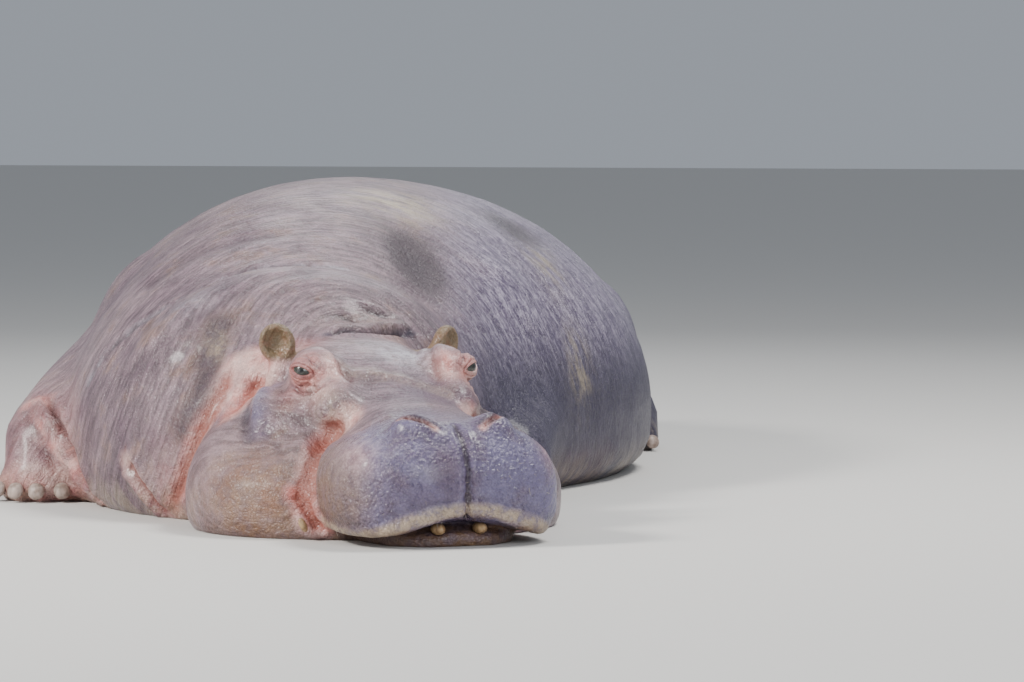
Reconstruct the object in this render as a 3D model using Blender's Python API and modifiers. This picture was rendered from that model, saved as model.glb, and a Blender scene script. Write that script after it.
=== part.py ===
"""A life-size hippopotamus lying on its belly, head turned to its left and chin on the floor.

The animal faces -Y with its left side at +X, and +Z is up. The soft body is modelled whole from
lofts, limbs and ellipsoids that are fused and smoothed, and is then parted with thin cuts into the
pieces that a person would name. Eyes, nails and teeth are solids of their own. Units are metres.
"""

import math

import bmesh
import bpy
from mathutils import Matrix, Vector

# ---------------------------------------------------------------- driving dimensions

BACK_HEIGHT = 0.715         # top of the back above the floor
BELLY_HALF_WIDTH = 0.678    # half the width of the belly, spread by its own weight
WIDEST_HEIGHT = 0.16        # height at which the trunk is widest
SUNK = 0.05                 # how far the soft forms reach below the floor before the floor cut

HEAD_TURN = math.radians(31.5)        # the head's turn from the body's line towards its left
EARS_MIDDLE = Vector((0.280, -0.945, 0.0))  # on the floor, below the middle between the ears
HEAD_LENGTH = 0.655                   # from the ears' middle to the front of the muzzle
MUZZLE_HALF_WIDTH = 0.247
POLL_HEIGHT = 0.40

LIP_TILT = -0.012           # rise of the lip's rim per metre towards the animal's left
LIP_ARCH = 0.050            # rise of the lip's rim from the sides to the middle
ARCH_SPAN = 0.82            # share of the lip's width that rises

BODY_VOXEL = 0.016
HEAD_VOXEL = 0.009
GAP = 0.0004                # between pieces that touch


# ---------------------------------------------------------------- helpers

def clear_scene():
    for old in list(bpy.data.objects):
        bpy.data.objects.remove(old)


def new_collection(name):
    made = bpy.data.collections.new(name)
    bpy.context.scene.collection.children.link(made)
    return made


def smooth_value(stations, column, t):
    """The column's value at t, on a Catmull-Rom curve through the stations (first column is t)."""
    last = len(stations) - 2
    i = max(0, min(last, sum(1 for s in stations if s[0] <= t) - 1))
    before, start = stations[max(i - 1, 0)], stations[i]
    end, after = stations[i + 1], stations[min(i + 2, last + 1)]
    share = (t - start[0]) / (end[0] - start[0])

    def slope(a, b):
        return (b[column] - a[column]) / (b[0] - a[0]) if b[0] > a[0] else 0.0

    length = end[0] - start[0]
    m0, m1 = slope(before, end) * length, slope(start, after) * length
    s2, s3 = share * share, share ** 3
    return ((2 * s3 - 3 * s2 + 1) * start[column] + (s3 - 2 * s2 + share) * m0
            + (3 * s2 - 2 * s3) * end[column] + (s3 - s2) * m1)


def section_point(angle, half_width, top, widest, bottom, upper_power, lower_power):
    """A point of a rounded section: (sideways, height). Powers of 2 make an ellipse, more is boxier."""
    c, s = math.cos(angle), math.sin(angle)
    power = upper_power if s >= 0 else lower_power
    reach = top - widest if s >= 0 else widest - bottom
    side = math.copysign(abs(c) ** (2 / power), c) * half_width
    return side, widest + math.copysign(abs(s) ** (2 / power), s) * reach


def loft(name, stations, place, rings=40, sides=36, upper_power=2.0, lower_power=2.4,
         tilt=0.0, arch=0.0):
    """A closed form through stations of (t, half_width, top, widest, bottom).

    place(t) gives the section's middle on the floor and its direction sideways, to the left.
    """
    mesh = bmesh.new()
    first, last = stations[0][0], stations[-1][0]
    loops = []
    for ring in range(rings + 1):
        t = first + (last - first) * ring / rings
        half_width, top, widest, bottom = (smooth_value(stations, c, t) for c in (1, 2, 3, 4))
        middle, left = place(t)
        loop = []
        for side in range(sides):
            across, height = section_point(math.tau * side / sides, half_width, top, widest,
                                           bottom, upper_power, lower_power)
            if height < widest:
                height += tilt * across + arch * max(0.0, 1 - (across / half_width / ARCH_SPAN) ** 2)
            loop.append(mesh.verts.new(middle + left * across + Vector((0, 0, height))))
        loops.append(loop)
    for near, far in zip(loops, loops[1:]):
        for i in range(sides):
            j = (i + 1) % sides
            mesh.faces.new((near[i], near[j], far[j], far[i]))
    mesh.faces.new(loops[0])
    mesh.faces.new(loops[-1])
    bmesh.ops.recalc_face_normals(mesh, faces=mesh.faces)
    return link_mesh(name, mesh)


def link_mesh(name, mesh):
    data = bpy.data.meshes.new(name)
    mesh.to_mesh(data)
    mesh.free()
    made = bpy.data.objects.new(name, data)
    bpy.context.scene.collection.objects.link(made)
    return made


def ellipsoid(name, centre, radii, turn=None, segments=28, rings=18):
    """An ellipsoid of those radii, turned by the matrix turn about its centre."""
    mesh = bmesh.new()
    bmesh.ops.create_uvsphere(mesh, u_segments=segments, v_segments=rings, radius=1.0)
    matrix = Matrix.Translation(centre) @ (turn or Matrix()).to_4x4() @ Matrix.Diagonal((*radii, 1))
    bmesh.ops.transform(mesh, matrix=matrix, verts=mesh.verts)
    return link_mesh(name, mesh)


def limb(name, joints, steps=7):
    """A tapering fleshy limb through joints of (x, y, z, radius), as overlapping spheres."""
    mesh = bmesh.new()
    for start, end in zip(joints, joints[1:]):
        for step in range(steps + 1):
            share = step / steps
            x, y, z, r = (a + (b - a) * share for a, b in zip(start, end))
            place = Matrix.Translation((x, y, z))
            bmesh.ops.create_uvsphere(mesh, u_segments=20, v_segments=12, radius=r, matrix=place)
    return link_mesh(name, mesh)


def yaw(degrees):
    return Matrix.Rotation(math.radians(degrees), 3, "Z")


def join(name, objects):
    """One mesh object that holds all of these objects' faces. The objects are removed."""
    mesh = bmesh.new()
    for obj in objects:
        mesh.from_mesh(obj.data)
        bpy.data.objects.remove(obj)
    return link_mesh(name, mesh)


def applied(obj, name=None):
    """The object with its modifiers applied, as a new object. The old one is removed."""
    name = name or obj.name
    graph = bpy.context.evaluated_depsgraph_get()
    data = bpy.data.meshes.new_from_object(obj.evaluated_get(graph))
    bpy.data.objects.remove(obj)
    made = bpy.data.objects.new(name, data)
    data.name = name
    bpy.context.scene.collection.objects.link(made)
    return made


def fuse(obj, voxel, smoothing):
    """Makes overlapping closed forms one skin, and rounds the creases where they meet."""
    remesh = obj.modifiers.new("fuse", "REMESH")
    remesh.mode = "VOXEL"
    remesh.voxel_size = voxel
    smooth = obj.modifiers.new("round", "SMOOTH")
    smooth.factor = 0.5
    smooth.iterations = smoothing
    return applied(obj)


# ---------------------------------------------------------------- trunk and neck

# The line of the spine on the floor: (distance along, x, y)
SPINE = (
    (0.00, 0.200, -0.870),
    (0.15, 0.110, -0.750),
    (0.35, 0.030, -0.570),
    (0.60, -0.005, -0.320),
    (0.90, 0.004, -0.020),
    (1.50, 0.014, 0.580),
    (2.55, 0.030, 1.630),
)

# (distance along the spine, half width, top, widest height, bottom)
TRUNK = (
    (0.00, 0.270, 0.375, 0.18, -SUNK),
    (0.12, 0.350, 0.430, 0.17, -SUNK),
    (0.30, 0.435, 0.515, 0.17, -SUNK),
    (0.50, 0.505, 0.605, 0.16, -SUNK),
    (0.75, 0.565, 0.682, 0.15, -SUNK),
    (1.00, 0.640, 0.712, WIDEST_HEIGHT, -SUNK),
    (1.20, 0.680, BACK_HEIGHT, WIDEST_HEIGHT, -SUNK),
    (1.50, BELLY_HALF_WIDTH, 0.698, WIDEST_HEIGHT, -SUNK),
    (1.72, 0.615, 0.678, WIDEST_HEIGHT, -SUNK),
    (1.90, 0.500, 0.650, 0.18, -SUNK),
    (2.08, 0.445, 0.610, 0.20, -SUNK),
    (2.25, 0.420, 0.545, 0.20, 0.00),
    (2.40, 0.360, 0.470, 0.22, 0.04),
    (2.50, 0.200, 0.390, 0.24, 0.10),
    (2.55, 0.060, 0.300, 0.24, 0.18),
)


NECK_MIDDLE = (0.080, -0.650, 0.240)
NECK_RADII = (0.405, 0.250, 0.300)
NECK_TURN = 24


def on_spine(t):
    """The spine's point at t and the direction to the body's left."""
    def at(s):
        return Vector((smooth_value(SPINE, 1, s), smooth_value(SPINE, 2, s), 0.0))

    ahead = (at(min(t + 0.01, 2.55)) - at(max(t - 0.01, 0.0))).normalized()
    return at(t), Vector((ahead.y, -ahead.x, 0.0))


def make_trunk():
    barrel = loft("trunk_form", TRUNK, on_spine, rings=60, sides=48,
                  upper_power=1.93, lower_power=4.0)
    collar = ellipsoid("neck_form", NECK_MIDDLE, NECK_RADII, yaw(NECK_TURN))
    return join("trunk_form", [barrel, collar])


# ---------------------------------------------------------------- legs

# name, heel (x, y), direction of the toes in degrees from -Y towards the left, size
FEET = (
    ("fore_right", (-0.545, -0.500), -6, 1.0),
    ("fore_left", (0.528, -0.392), 2, 1.0),
    ("hind_right", (-0.535, 1.200), -3, 0.92),
    ("hind_left", (0.535, 1.200), 3, 0.92),
)
TOE_SPREAD = (-0.066, -0.024, 0.024, 0.066)   # of the four toes across the foot
TOE_REACH = (0.085, 0.112, 0.112, 0.085)      # and how far ahead of the heel they end
TOE_FAN = (-24, -8, 8, 24)


def foot_place(foot, across, ahead, up):
    """A point beside a foot's heel, in the foot's own directions."""
    _, heel, heading, size = foot
    turned = yaw(heading) @ Vector((across, -ahead, 0.0))
    return Vector((heel[0], heel[1], up * size)) + turned * size


def make_foot(foot):
    _, _, heading, size = foot
    forms = [ellipsoid("pad", foot_place(foot, 0, 0.01, 0.055), (0.088 * size, 0.095 * size, 0.085 * size),
                       yaw(heading))]
    for across, reach, fan in zip(TOE_SPREAD, TOE_REACH, TOE_FAN):
        forms.append(ellipsoid("toe", foot_place(foot, across, reach - 0.045, 0.032),
                               (0.029 * size, 0.060 * size, 0.042 * size), yaw(heading + fan)))
    return forms


def make_legs():
    forms = []
    # right foreleg: the elbow sticks out and the foot stands beside the neck
    forms.append(limb("arm", ((-0.34, 0.00, 0.30, 0.20), (-0.50, -0.26, 0.19, 0.135),
                              (-0.555, -0.47, 0.13, 0.095))))
    forms.append(ellipsoid("elbow_fold", (-0.47, -0.25, 0.18), (0.17, 0.21, 0.145), yaw(15)))
    # left foreleg: tucked closer, behind the head
    forms.append(limb("arm", ((0.34, 0.02, 0.30, 0.20), (0.495, -0.16, 0.15, 0.108),
                              (0.520, -0.36, 0.11, 0.086))))
    for side in (-1, 1):
        forms.append(ellipsoid("shoulder", (side * 0.33, -0.05, 0.31), (0.21, 0.27, 0.26)))
        forms.append(ellipsoid("thigh", (side * 0.400, 1.13, 0.235), (0.175, 0.33, 0.225), yaw(side * 6)))
        forms.append(limb("shank", ((side * 0.47, 0.98, 0.14, 0.12), (side * 0.47, 1.39, 0.10, 0.085),
                                    (side * 0.530, 1.25, 0.085, 0.080))))
    for foot in FEET:
        forms += make_foot(foot)
    return forms


# ---------------------------------------------------------------- head

AHEAD = Vector((math.sin(HEAD_TURN), -math.cos(HEAD_TURN), 0.0))
TO_LEFT = Vector((math.cos(HEAD_TURN), math.sin(HEAD_TURN), 0.0))
HEAD_TURNED = Matrix((TO_LEFT, -AHEAD, Vector((0, 0, 1)))).transposed()


def in_head(left, ahead, up):
    """A point given in the head's own directions, from the floor below the ears' middle."""
    return EARS_MIDDLE + TO_LEFT * left + AHEAD * ahead + Vector((0, 0, up))


def on_head_line(t):
    return in_head(0, t, 0), TO_LEFT


# (distance ahead of the ears, half width, top, widest height, bottom)
SKULL = (
    (-0.20, 0.160, 0.360, 0.22, 0.10),
    (-0.12, 0.190, 0.395, 0.24, 0.08),
    (-0.02, 0.190, POLL_HEIGHT, 0.25, 0.06),
    (0.06, 0.170, 0.388, 0.25, 0.06),
    (0.14, 0.160, 0.362, 0.24, 0.06),
    (0.22, 0.155, 0.326, 0.20, 0.06),
    (0.31, 0.155, 0.292, 0.17, 0.05),
    (0.40, 0.170, 0.272, 0.15, 0.04),
    (0.49, 0.175, 0.258, 0.14, 0.04),
    (0.56, 0.150, 0.235, 0.13, 0.05),
    (0.61, 0.090, 0.190, 0.13, 0.08),
)
MUZZLE = (
    (0.23, 0.120, 0.190, 0.12, 0.04),
    (0.28, 0.175, 0.222, 0.12, 0.030),
    (0.35, 0.222, 0.242, 0.12, 0.004),
    (0.42, 0.242, 0.252, 0.115, 0.002),
    (0.49, MUZZLE_HALF_WIDTH, 0.256, 0.11, 0.002),
    (0.55, 0.238, 0.254, 0.11, 0.002),
    (0.60, 0.212, 0.238, 0.11, 0.004),
    (0.638, 0.160, 0.200, 0.11, 0.012),
    (HEAD_LENGTH, 0.080, 0.155, 0.11, 0.040),
)
CHEEKS = (
    (-0.22, 0.240, 0.250, 0.12, -SUNK),
    (-0.12, 0.335, 0.300, 0.09, -SUNK),
    (-0.02, 0.392, 0.318, 0.08, -SUNK),
    (0.08, 0.412, 0.292, 0.08, -SUNK),
    (0.18, 0.398, 0.252, 0.075, -SUNK),
    (0.27, 0.350, 0.215, 0.07, -SUNK),
    (0.34, 0.275, 0.160, 0.06, -SUNK),
    (0.39, 0.200, 0.110, 0.06, -SUNK),
    (0.42, 0.120, 0.080, 0.04, -SUNK),
)
CHIN = (
    (0.22, 0.150, 0.050, 0.02, -SUNK),
    (0.30, 0.165, 0.050, 0.02, -SUNK),
    (0.38, 0.160, 0.048, 0.02, -SUNK),
    (0.46, 0.155, 0.044, 0.02, -SUNK),
    (0.53, 0.146, 0.040, 0.02, -SUNK),
    (0.58, 0.124, 0.035, 0.02, -SUNK),
    (0.61, 0.075, 0.028, 0.015, -0.03),
)


def make_head():
    forms = [
        loft("skull_form", SKULL, on_head_line, upper_power=2.3),
        loft("muzzle_form", MUZZLE, on_head_line, upper_power=2.4, lower_power=4.0,
             tilt=LIP_TILT, arch=LIP_ARCH),
        loft("cheek_form", CHEEKS, on_head_line, upper_power=2.0, lower_power=4.0),
        ellipsoid("poll_roll", in_head(0, -0.125, 0.330), (0.190, 0.070, 0.088), HEAD_TURNED),
    ]
    for side in (-1, 1):
        forms.append(ellipsoid("temple", in_head(side * 0.170, 0.06, 0.195), (0.130, 0.165, 0.112),
                               HEAD_TURNED))
        forms.append(ellipsoid("brow", in_head(side * 0.143, 0.118, 0.333), (0.057, 0.086, 0.057),
                               HEAD_TURNED))
        forms.append(ellipsoid("eye_step", in_head(side * 0.128, 0.195, 0.258), (0.062, 0.110, 0.072),
                               HEAD_TURNED))
        forms.append(ellipsoid("nostril_mound", in_head(side * 0.082, 0.556, 0.230),
                               (0.055, 0.058, 0.042), HEAD_TURNED))
        forms.append(ellipsoid("ear_root", in_head(side * 0.165, -0.015, 0.325), (0.045, 0.045, 0.050),
                               HEAD_TURNED))
    return forms


def make_body():
    trunk = join("body", [make_trunk(), *make_legs()])
    trunk = fuse(trunk, BODY_VOXEL, 14)
    whole = join("body", [trunk, *make_head()])
    return fuse(whole, HEAD_VOXEL, 14)


# ---------------------------------------------------------------- ears, eyes, teeth, nails, tail

# For each ear: its middle from the head's middle line and up, degrees that the cup opens outwards
# from straight ahead, and degrees that it leans outwards
EARS = {-1: (0.187, 0.390, 24, 16), 1: (0.200, 0.380, 40, 42)}
EYE_RADIUS = 0.0245
EYE_PLACE = (0.181, 0.153, 0.339)     # sideways, ahead of the ears, up
TUSK_PLACE = (0.262, 0.374, 0.046)
FRONT_TOOTH_PLACE = (0.046, 0.597, 0.036)


def make_ear(side):
    """A rounded cup on a short stalk."""
    across, up, opening, lean = EARS[side]
    turn = HEAD_TURNED @ yaw(side * opening) @ Matrix.Rotation(math.radians(side * lean), 3, "Y")
    middle = in_head(side * across, -0.005, up)

    def placed(x, y, z):
        return middle + turn @ Vector((x, y, z))

    shell = ellipsoid("ear_shell", middle, (0.041, 0.026, 0.046), turn)
    stalk = ellipsoid("ear_stalk", placed(-side * 0.008, 0.008, -0.038), (0.026, 0.024, 0.036), turn)
    ear = fuse(join("ear", [shell, stalk]), 0.004, 3)
    hollow = ellipsoid("hollow", placed(0, -0.024, 0.004), (0.031, 0.028, 0.035), turn)
    cut(ear, hollow, "DIFFERENCE")
    return thinned(ear, "ear_" + side_name(side), 200)


def make_eye(side):
    across, ahead, up = EYE_PLACE
    radii = (EYE_RADIUS,) * 3
    return ellipsoid("eye_" + side_name(side), in_head(side * across, ahead, up), radii,
                     HEAD_TURNED, 10, 6)


def make_tusk(side):
    across, ahead, up = TUSK_PLACE
    lean = HEAD_TURNED @ Matrix.Rotation(math.radians(side * 12), 3, "Y")
    return ellipsoid("tusk_" + side_name(side), in_head(side * across, ahead, up),
                     (0.0095, 0.0100, 0.0300), lean, 8, 5)


def make_front_tooth(side):
    across, ahead, up = FRONT_TOOTH_PLACE
    return ellipsoid("front_tooth_" + side_name(side), in_head(side * across, ahead, up),
                     (0.0155, 0.0300, 0.0130), HEAD_TURNED, 8, 5)


def make_nails(foot):
    name, _, heading, size = foot
    made = []
    for number, (across, reach, fan) in enumerate(zip(TOE_SPREAD, TOE_REACH, TOE_FAN), 1):
        spread = across * (1 + 0.16 * abs(across) / 0.066)
        turn = yaw(heading + fan) @ Matrix.Rotation(math.radians(-28), 3, "X")
        made.append(ellipsoid(f"nail_{name}_{number}", foot_place(foot, spread, reach + 0.001, 0.026),
                              (0.0210 * size, 0.0140 * size, 0.0210 * size), turn, 8, 4))
    return made


def make_tail():
    """A short tail, thick at the root, hanging down the rump to a flattened tip."""
    root = limb("tail_root", ((0.03, 1.560, 0.410, 0.068), (0.035, 1.625, 0.320, 0.060),
                              (0.045, 1.655, 0.200, 0.046), (0.055, 1.665, 0.110, 0.034)))
    tip = ellipsoid("tail_tip", (0.058, 1.670, 0.090), (0.048, 0.022, 0.078))
    return thinned(fuse(join("tail", [root, tip]), 0.007, 6), "tail", 180)


def make_chin():
    return loft("jaw", CHIN, on_head_line, rings=7, sides=18, upper_power=2.4, lower_power=4.0)


# ---------------------------------------------------------------- parting

def side_name(side):
    return "left" if side > 0 else "right"


def box(centre, size, turn=None):
    mesh = bmesh.new()
    bmesh.ops.create_cube(mesh, size=1.0)
    matrix = Matrix.Translation(centre) @ (turn or Matrix()).to_4x4() @ Matrix.Diagonal((*size, 1))
    bmesh.ops.transform(mesh, matrix=matrix, verts=mesh.verts)
    return link_mesh("box", mesh)


def copied(obj, name="copy", grow=0.0):
    """A copy of the object, its surface moved outwards by grow."""
    mesh = bmesh.new()
    mesh.from_mesh(obj.data)
    mesh.normal_update()
    for vert in mesh.verts:
        vert.co += vert.normal * grow
    return link_mesh(name, mesh)


def cut(obj, cutter, operation):
    """Applies a Boolean to the object in place, and removes the cutter."""
    boolean = obj.modifiers.new("cut", "BOOLEAN")
    boolean.operation = operation
    boolean.solver = "EXACT"
    boolean.object = cutter
    graph = bpy.context.evaluated_depsgraph_get()
    data = bpy.data.meshes.new_from_object(obj.evaluated_get(graph))
    obj.modifiers.clear()
    obj.data = data
    bpy.data.objects.remove(cutter)


def part_off(body, source, name, *regions):
    """Parts a piece off the body with thin cuts. The piece is the source's share of the regions.

    The source is the same body, at least as finely faceted. A region is (centre, size, turn).
    """
    piece = copied(source, name)
    for centre, size, turn in regions:
        cut(piece, box(centre, size, turn), "INTERSECT")
    centre, size, turn = regions[-1]
    cut(body, box(centre, [length + 2 * GAP for length in size], turn), "DIFFERENCE")
    return piece


def thinned(obj, name, triangles):
    """The object with about this many triangles."""
    obj.data.calc_loop_triangles()
    decimate = obj.modifiers.new("thin", "DECIMATE")
    decimate.ratio = triangles / len(obj.data.loop_triangles)
    decimate.use_collapse_triangulate = True
    return applied(obj, name)


def bounds(obj):
    corners = [vert.co for vert in obj.data.vertices]
    return [(min(c[axis] for c in corners), max(c[axis] for c in corners)) for axis in range(3)]


def touching(one, other):
    """Whether the two objects' bounding boxes overlap."""
    return all(a[0] < b[1] and b[0] < a[1] for a, b in zip(bounds(one), bounds(other)))


def fit_into(flesh, solid):
    """Cuts a pocket for the solid into the flesh, a thin gap wider than the solid."""
    cut(flesh, copied(solid, grow=GAP), "DIFFERENCE")


COARSE_TRIANGLES = 3100     # facets of the whole body, for the trunk, neck and legs
FOOT_TRIANGLES = 3800       # the same where only the feet are used
HEAD_TRIANGLES = 6700       # and where only the head is used

# The box that parts each leg off: its centre and size, as on the left side, and its turn in degrees
LEG_REGIONS = {
    "fore_right": ((0.728, -0.420, 0.080), (0.510, 0.800, 0.560), -5),
    "fore_left": ((0.707, -0.285, 0.020), (0.480, 0.550, 0.400), -8),
    "hind": ((0.745, 1.180, 0.100), (0.600, 0.780, 0.600), 0),
}
FOOT_REGIONS = {
    "fore_right": ((0.720, -0.680, 0.0), (0.640, 0.420, 0.500), 0),
    "fore_left": ((0.715, -0.487, 0.0), (0.560, 0.230, 0.400), -8),
    "hind": ((0.745, 1.030, 0.0), (0.640, 0.260, 0.300), 0),
}
HEAD_REGION = (0.370, 1.000)   # its middle ahead of the ears, and its length
NECK_BACK = -0.440             # where the neck meets the trunk
NECK_CUT_TURN = 10             # in degrees


def mirrored(region, side):
    (x, y, z), size, turn = region
    return (side * x, y, z), size, yaw(side * turn)


def part_leg(body, fine, side, pair):
    """One leg and its foot."""
    name = side_name(side)
    key = pair if pair == "hind" else f"{pair}_{name}"
    leg_region = mirrored(LEG_REGIONS[key], side)
    foot_region = mirrored(FOOT_REGIONS[key], side)
    leg = part_off(body, body, f"{pair}leg_{name}", leg_region)
    foot = part_off(leg, fine, f"{pair}foot_{name}", leg_region, foot_region)
    return leg, foot


def make_flesh():
    """The soft pieces by name: the body parted into trunk, neck, head, legs and feet."""
    whole = make_body()
    fine = thinned(copied(whole), "fine", HEAD_TRIANGLES)
    middling = thinned(copied(whole), "middling", FOOT_TRIANGLES)
    body = thinned(whole, "trunk", COARSE_TRIANGLES)
    for obj in (fine, middling, body):
        cut(obj, box((0, 0, 1.0), (6, 6, 2.0)), "INTERSECT")
    flesh = {}
    middle, length = HEAD_REGION
    head_region = (in_head(0, middle, 0.3), (1.3, length, 1.2), HEAD_TURNED)
    flesh["head"] = part_off(body, fine, "head", head_region)
    for pair in ("fore", "hind"):
        for side in (-1, 1):
            for piece in part_leg(body, middling, side, pair):
                flesh[piece.name] = piece
    neck_turn = yaw(NECK_CUT_TURN)
    neck_region = (Vector((0, NECK_BACK, 0)) + neck_turn @ Vector((0, -0.75, 0.3)), (2.5, 1.5, 1.2), neck_turn)
    flesh["neck"] = part_off(body, body, "neck", neck_region)
    flesh["trunk"] = body
    bpy.data.objects.remove(fine)
    bpy.data.objects.remove(middling)
    return flesh


SKIN = (0.250, 0.190, 0.200)
PINK_SKIN = (0.420, 0.235, 0.225)
COLOURS = {                 # linear colour and roughness by the start of a piece's name
    "head": (SKIN, 0.55), "neck": (SKIN, 0.60), "trunk": (SKIN, 0.50), "tail": (SKIN, 0.60),
    "jaw": (PINK_SKIN, 0.60), "ear": ((0.200, 0.150, 0.120), 0.65),
    "foreleg": (PINK_SKIN, 0.60), "forefoot": (PINK_SKIN, 0.65),
    "hindleg": (SKIN, 0.60), "hindfoot": (PINK_SKIN, 0.65),
    "eye": ((0.030, 0.018, 0.012), 0.08), "nail": ((0.160, 0.120, 0.095), 0.45),
    "tusk": ((0.600, 0.480, 0.270), 0.35), "front_tooth": ((0.420, 0.280, 0.150), 0.40),
}
SHARP_ANGLE = math.radians(50)


def finish(obj, collection):
    """Shades the piece, gives it its own material and puts it in the collection."""
    start = next(key for key in COLOURS if obj.name.startswith(key))
    colour, roughness = COLOURS[start]
    material = bpy.data.materials.new(obj.name)
    material.use_nodes = True
    shader = material.node_tree.nodes["Principled BSDF"]
    shader.inputs["Base Color"].default_value = (*colour, 1.0)
    shader.inputs["Roughness"].default_value = roughness
    obj.data.materials.clear()
    obj.data.materials.append(material)
    obj.data.polygons.foreach_set("use_smooth", [True] * len(obj.data.polygons))
    obj.data.set_sharp_from_angle(angle=SHARP_ANGLE)
    bpy.context.scene.collection.objects.unlink(obj)
    collection.objects.link(obj)


def centre_on_floor(objects):
    """Moves the meshes together so that the middle of their bounds is at x = y = 0."""
    limits = [bounds(obj) for obj in objects]
    shift = Vector([-(min(b[axis][0] for b in limits) + max(b[axis][1] for b in limits)) / 2
                    for axis in (0, 1)] + [0.0])
    for obj in objects:
        obj.data.transform(Matrix.Translation(shift))


def main():
    clear_scene()
    flesh = make_flesh()
    solids = []
    chin = make_chin()
    cut(chin, box((0, 0, 1.0), (6, 6, 2.0)), "INTERSECT")
    fit_into(flesh["head"], chin)
    for side in (-1, 1):
        for made in (make_ear(side), make_eye(side), make_tusk(side)):
            fit_into(flesh["head"], made)
            solids.append(made)
        tooth = make_front_tooth(side)
        fit_into(flesh["head"], tooth)
        fit_into(chin, tooth)
        solids.append(tooth)
    for foot in FEET:
        pair, name = foot[0].split("_")
        for nail in make_nails(foot):
            for piece in (flesh[f"{pair}foot_{name}"], flesh["neck" if pair == "fore" else "trunk"]):
                if touching(piece, nail):
                    fit_into(piece, nail)
            solids.append(nail)
    tail = make_tail()
    cut(tail, box((0, 0, 1.0), (6, 6, 2.0)), "INTERSECT")
    fit_into(flesh["trunk"], tail)
    everything = [*flesh.values(), chin, tail, *solids]
    centre_on_floor(everything)
    collection = new_collection("hippopotamus")
    for obj in everything:
        finish(obj, collection)


main()
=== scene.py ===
# %% [markdown]
# # A resting hippopotamus, life size
# The solids from the CAD step give the hippopotamus its true size and its outline. This notebook dresses
# them: one unbroken skin goes over all the nodes of flesh, with lids, nostrils, lips, folds and wrinkles
# worked into the mesh, and eyes, teeth, toenails and a few bristles are made as pieces of their own.

import math

import bmesh
import bpy
import numpy as np
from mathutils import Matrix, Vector
from mathutils.kdtree import KDTree


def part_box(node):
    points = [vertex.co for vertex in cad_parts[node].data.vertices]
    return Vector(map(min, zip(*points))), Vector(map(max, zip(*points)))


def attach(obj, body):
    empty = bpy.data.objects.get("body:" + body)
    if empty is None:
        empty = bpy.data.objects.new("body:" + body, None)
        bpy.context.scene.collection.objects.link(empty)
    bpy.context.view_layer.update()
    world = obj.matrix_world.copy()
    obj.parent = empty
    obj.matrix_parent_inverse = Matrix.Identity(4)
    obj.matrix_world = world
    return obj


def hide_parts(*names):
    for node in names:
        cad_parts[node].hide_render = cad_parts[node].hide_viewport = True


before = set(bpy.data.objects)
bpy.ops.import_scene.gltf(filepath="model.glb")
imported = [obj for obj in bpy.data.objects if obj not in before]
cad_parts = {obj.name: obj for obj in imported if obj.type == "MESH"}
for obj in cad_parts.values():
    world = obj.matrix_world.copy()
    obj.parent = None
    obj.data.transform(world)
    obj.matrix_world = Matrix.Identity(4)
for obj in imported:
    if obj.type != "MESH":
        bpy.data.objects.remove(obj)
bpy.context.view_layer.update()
print("nodes in the frame:", len(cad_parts))

# %% [markdown]
# ## A ruler for the head
# The head lies turned to one side, so places on it are easier to say in its own directions: how far to
# the animal's left, how far ahead of the ears, and how far above the floor. Both eyes are in the frame,
# and the line between them gives those directions. From here on, a stop or a spot is given as left, ahead
# and up, in metres.

# %% Directions of the head
RIGHT, LEFT = -1, 1                  # the animal's own right and left
BOTH_SIDES = (RIGHT, LEFT)
EYES_AHEAD_OF_EARS = 0.153
right_eye, left_eye = (sum(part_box(n), Vector()) / 2 for n in ("eye_right", "eye_left"))
TO_LEFT = ((left_eye - right_eye) * Vector((1, 1, 0))).normalized()
AHEAD = Vector((TO_LEFT.y, -TO_LEFT.x, 0.0))
UP = Vector((0.0, 0.0, 1.0))
EARS_MIDDLE = ((left_eye + right_eye) / 2 * Vector((1, 1, 0))) - AHEAD * EYES_AHEAD_OF_EARS
HEAD_AXES = np.array([TO_LEFT, AHEAD, UP])


def in_head(left, ahead, up):
    """The place in the scene of a point given in the head's own directions."""
    return EARS_MIDDLE + TO_LEFT * left + AHEAD * ahead + UP * up


def head_places(points):
    """Many points of the scene, in the head's own directions."""
    return (points - np.array(EARS_MIDDLE)) @ HEAD_AXES.T


print("head turned", round(math.degrees(math.atan2(AHEAD.x, -AHEAD.y)), 1), "degrees to its left")

# %% [markdown]
# ## The camera
# The animal is seen from far in front, a little above eye level, through a long lens. A long lens
# flattens the body behind the head, which is why a near camera would never give the same outline.

# %% Camera
CAMERA_LENS = 189.49
CAMERA_AZIMUTH = math.radians(10.0)
CAMERA_PITCH = math.radians(3.244)
CAMERA_FROM_EARS = (2.3413, -11.3872, 1.05)


def in_scene(name, data):
    """A new object at the origin, put in the scene."""
    made = bpy.data.objects.new(name, data)
    bpy.context.collection.objects.link(made)
    return made


camera_data = bpy.data.cameras.new("camera")
camera_data.lens = CAMERA_LENS
camera_data.sensor_width = 36.0
camera_data.clip_end = 200.0
camera = in_scene("camera", camera_data)
camera.location = EARS_MIDDLE + Vector(CAMERA_FROM_EARS)
level = math.cos(CAMERA_PITCH)
camera_looks = Vector(
    (-math.sin(CAMERA_AZIMUTH) * level, math.cos(CAMERA_AZIMUTH) * level, -math.sin(CAMERA_PITCH))
)
camera.rotation_euler = camera_looks.to_track_quat("-Z", "Y").to_euler()
bpy.context.scene.camera = camera
print("camera at", [round(v, 3) for v in camera.location])

# %% [markdown]
# ## One skin from many solids
# The solids meet along thin cuts, and they are faceted. A voxel remesh of a joined copy closes the cuts
# and gives even squares all over. The CAD nodes themselves are never changed, so their meshes are copied,
# and the copies' loose triangles are merged first.

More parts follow.
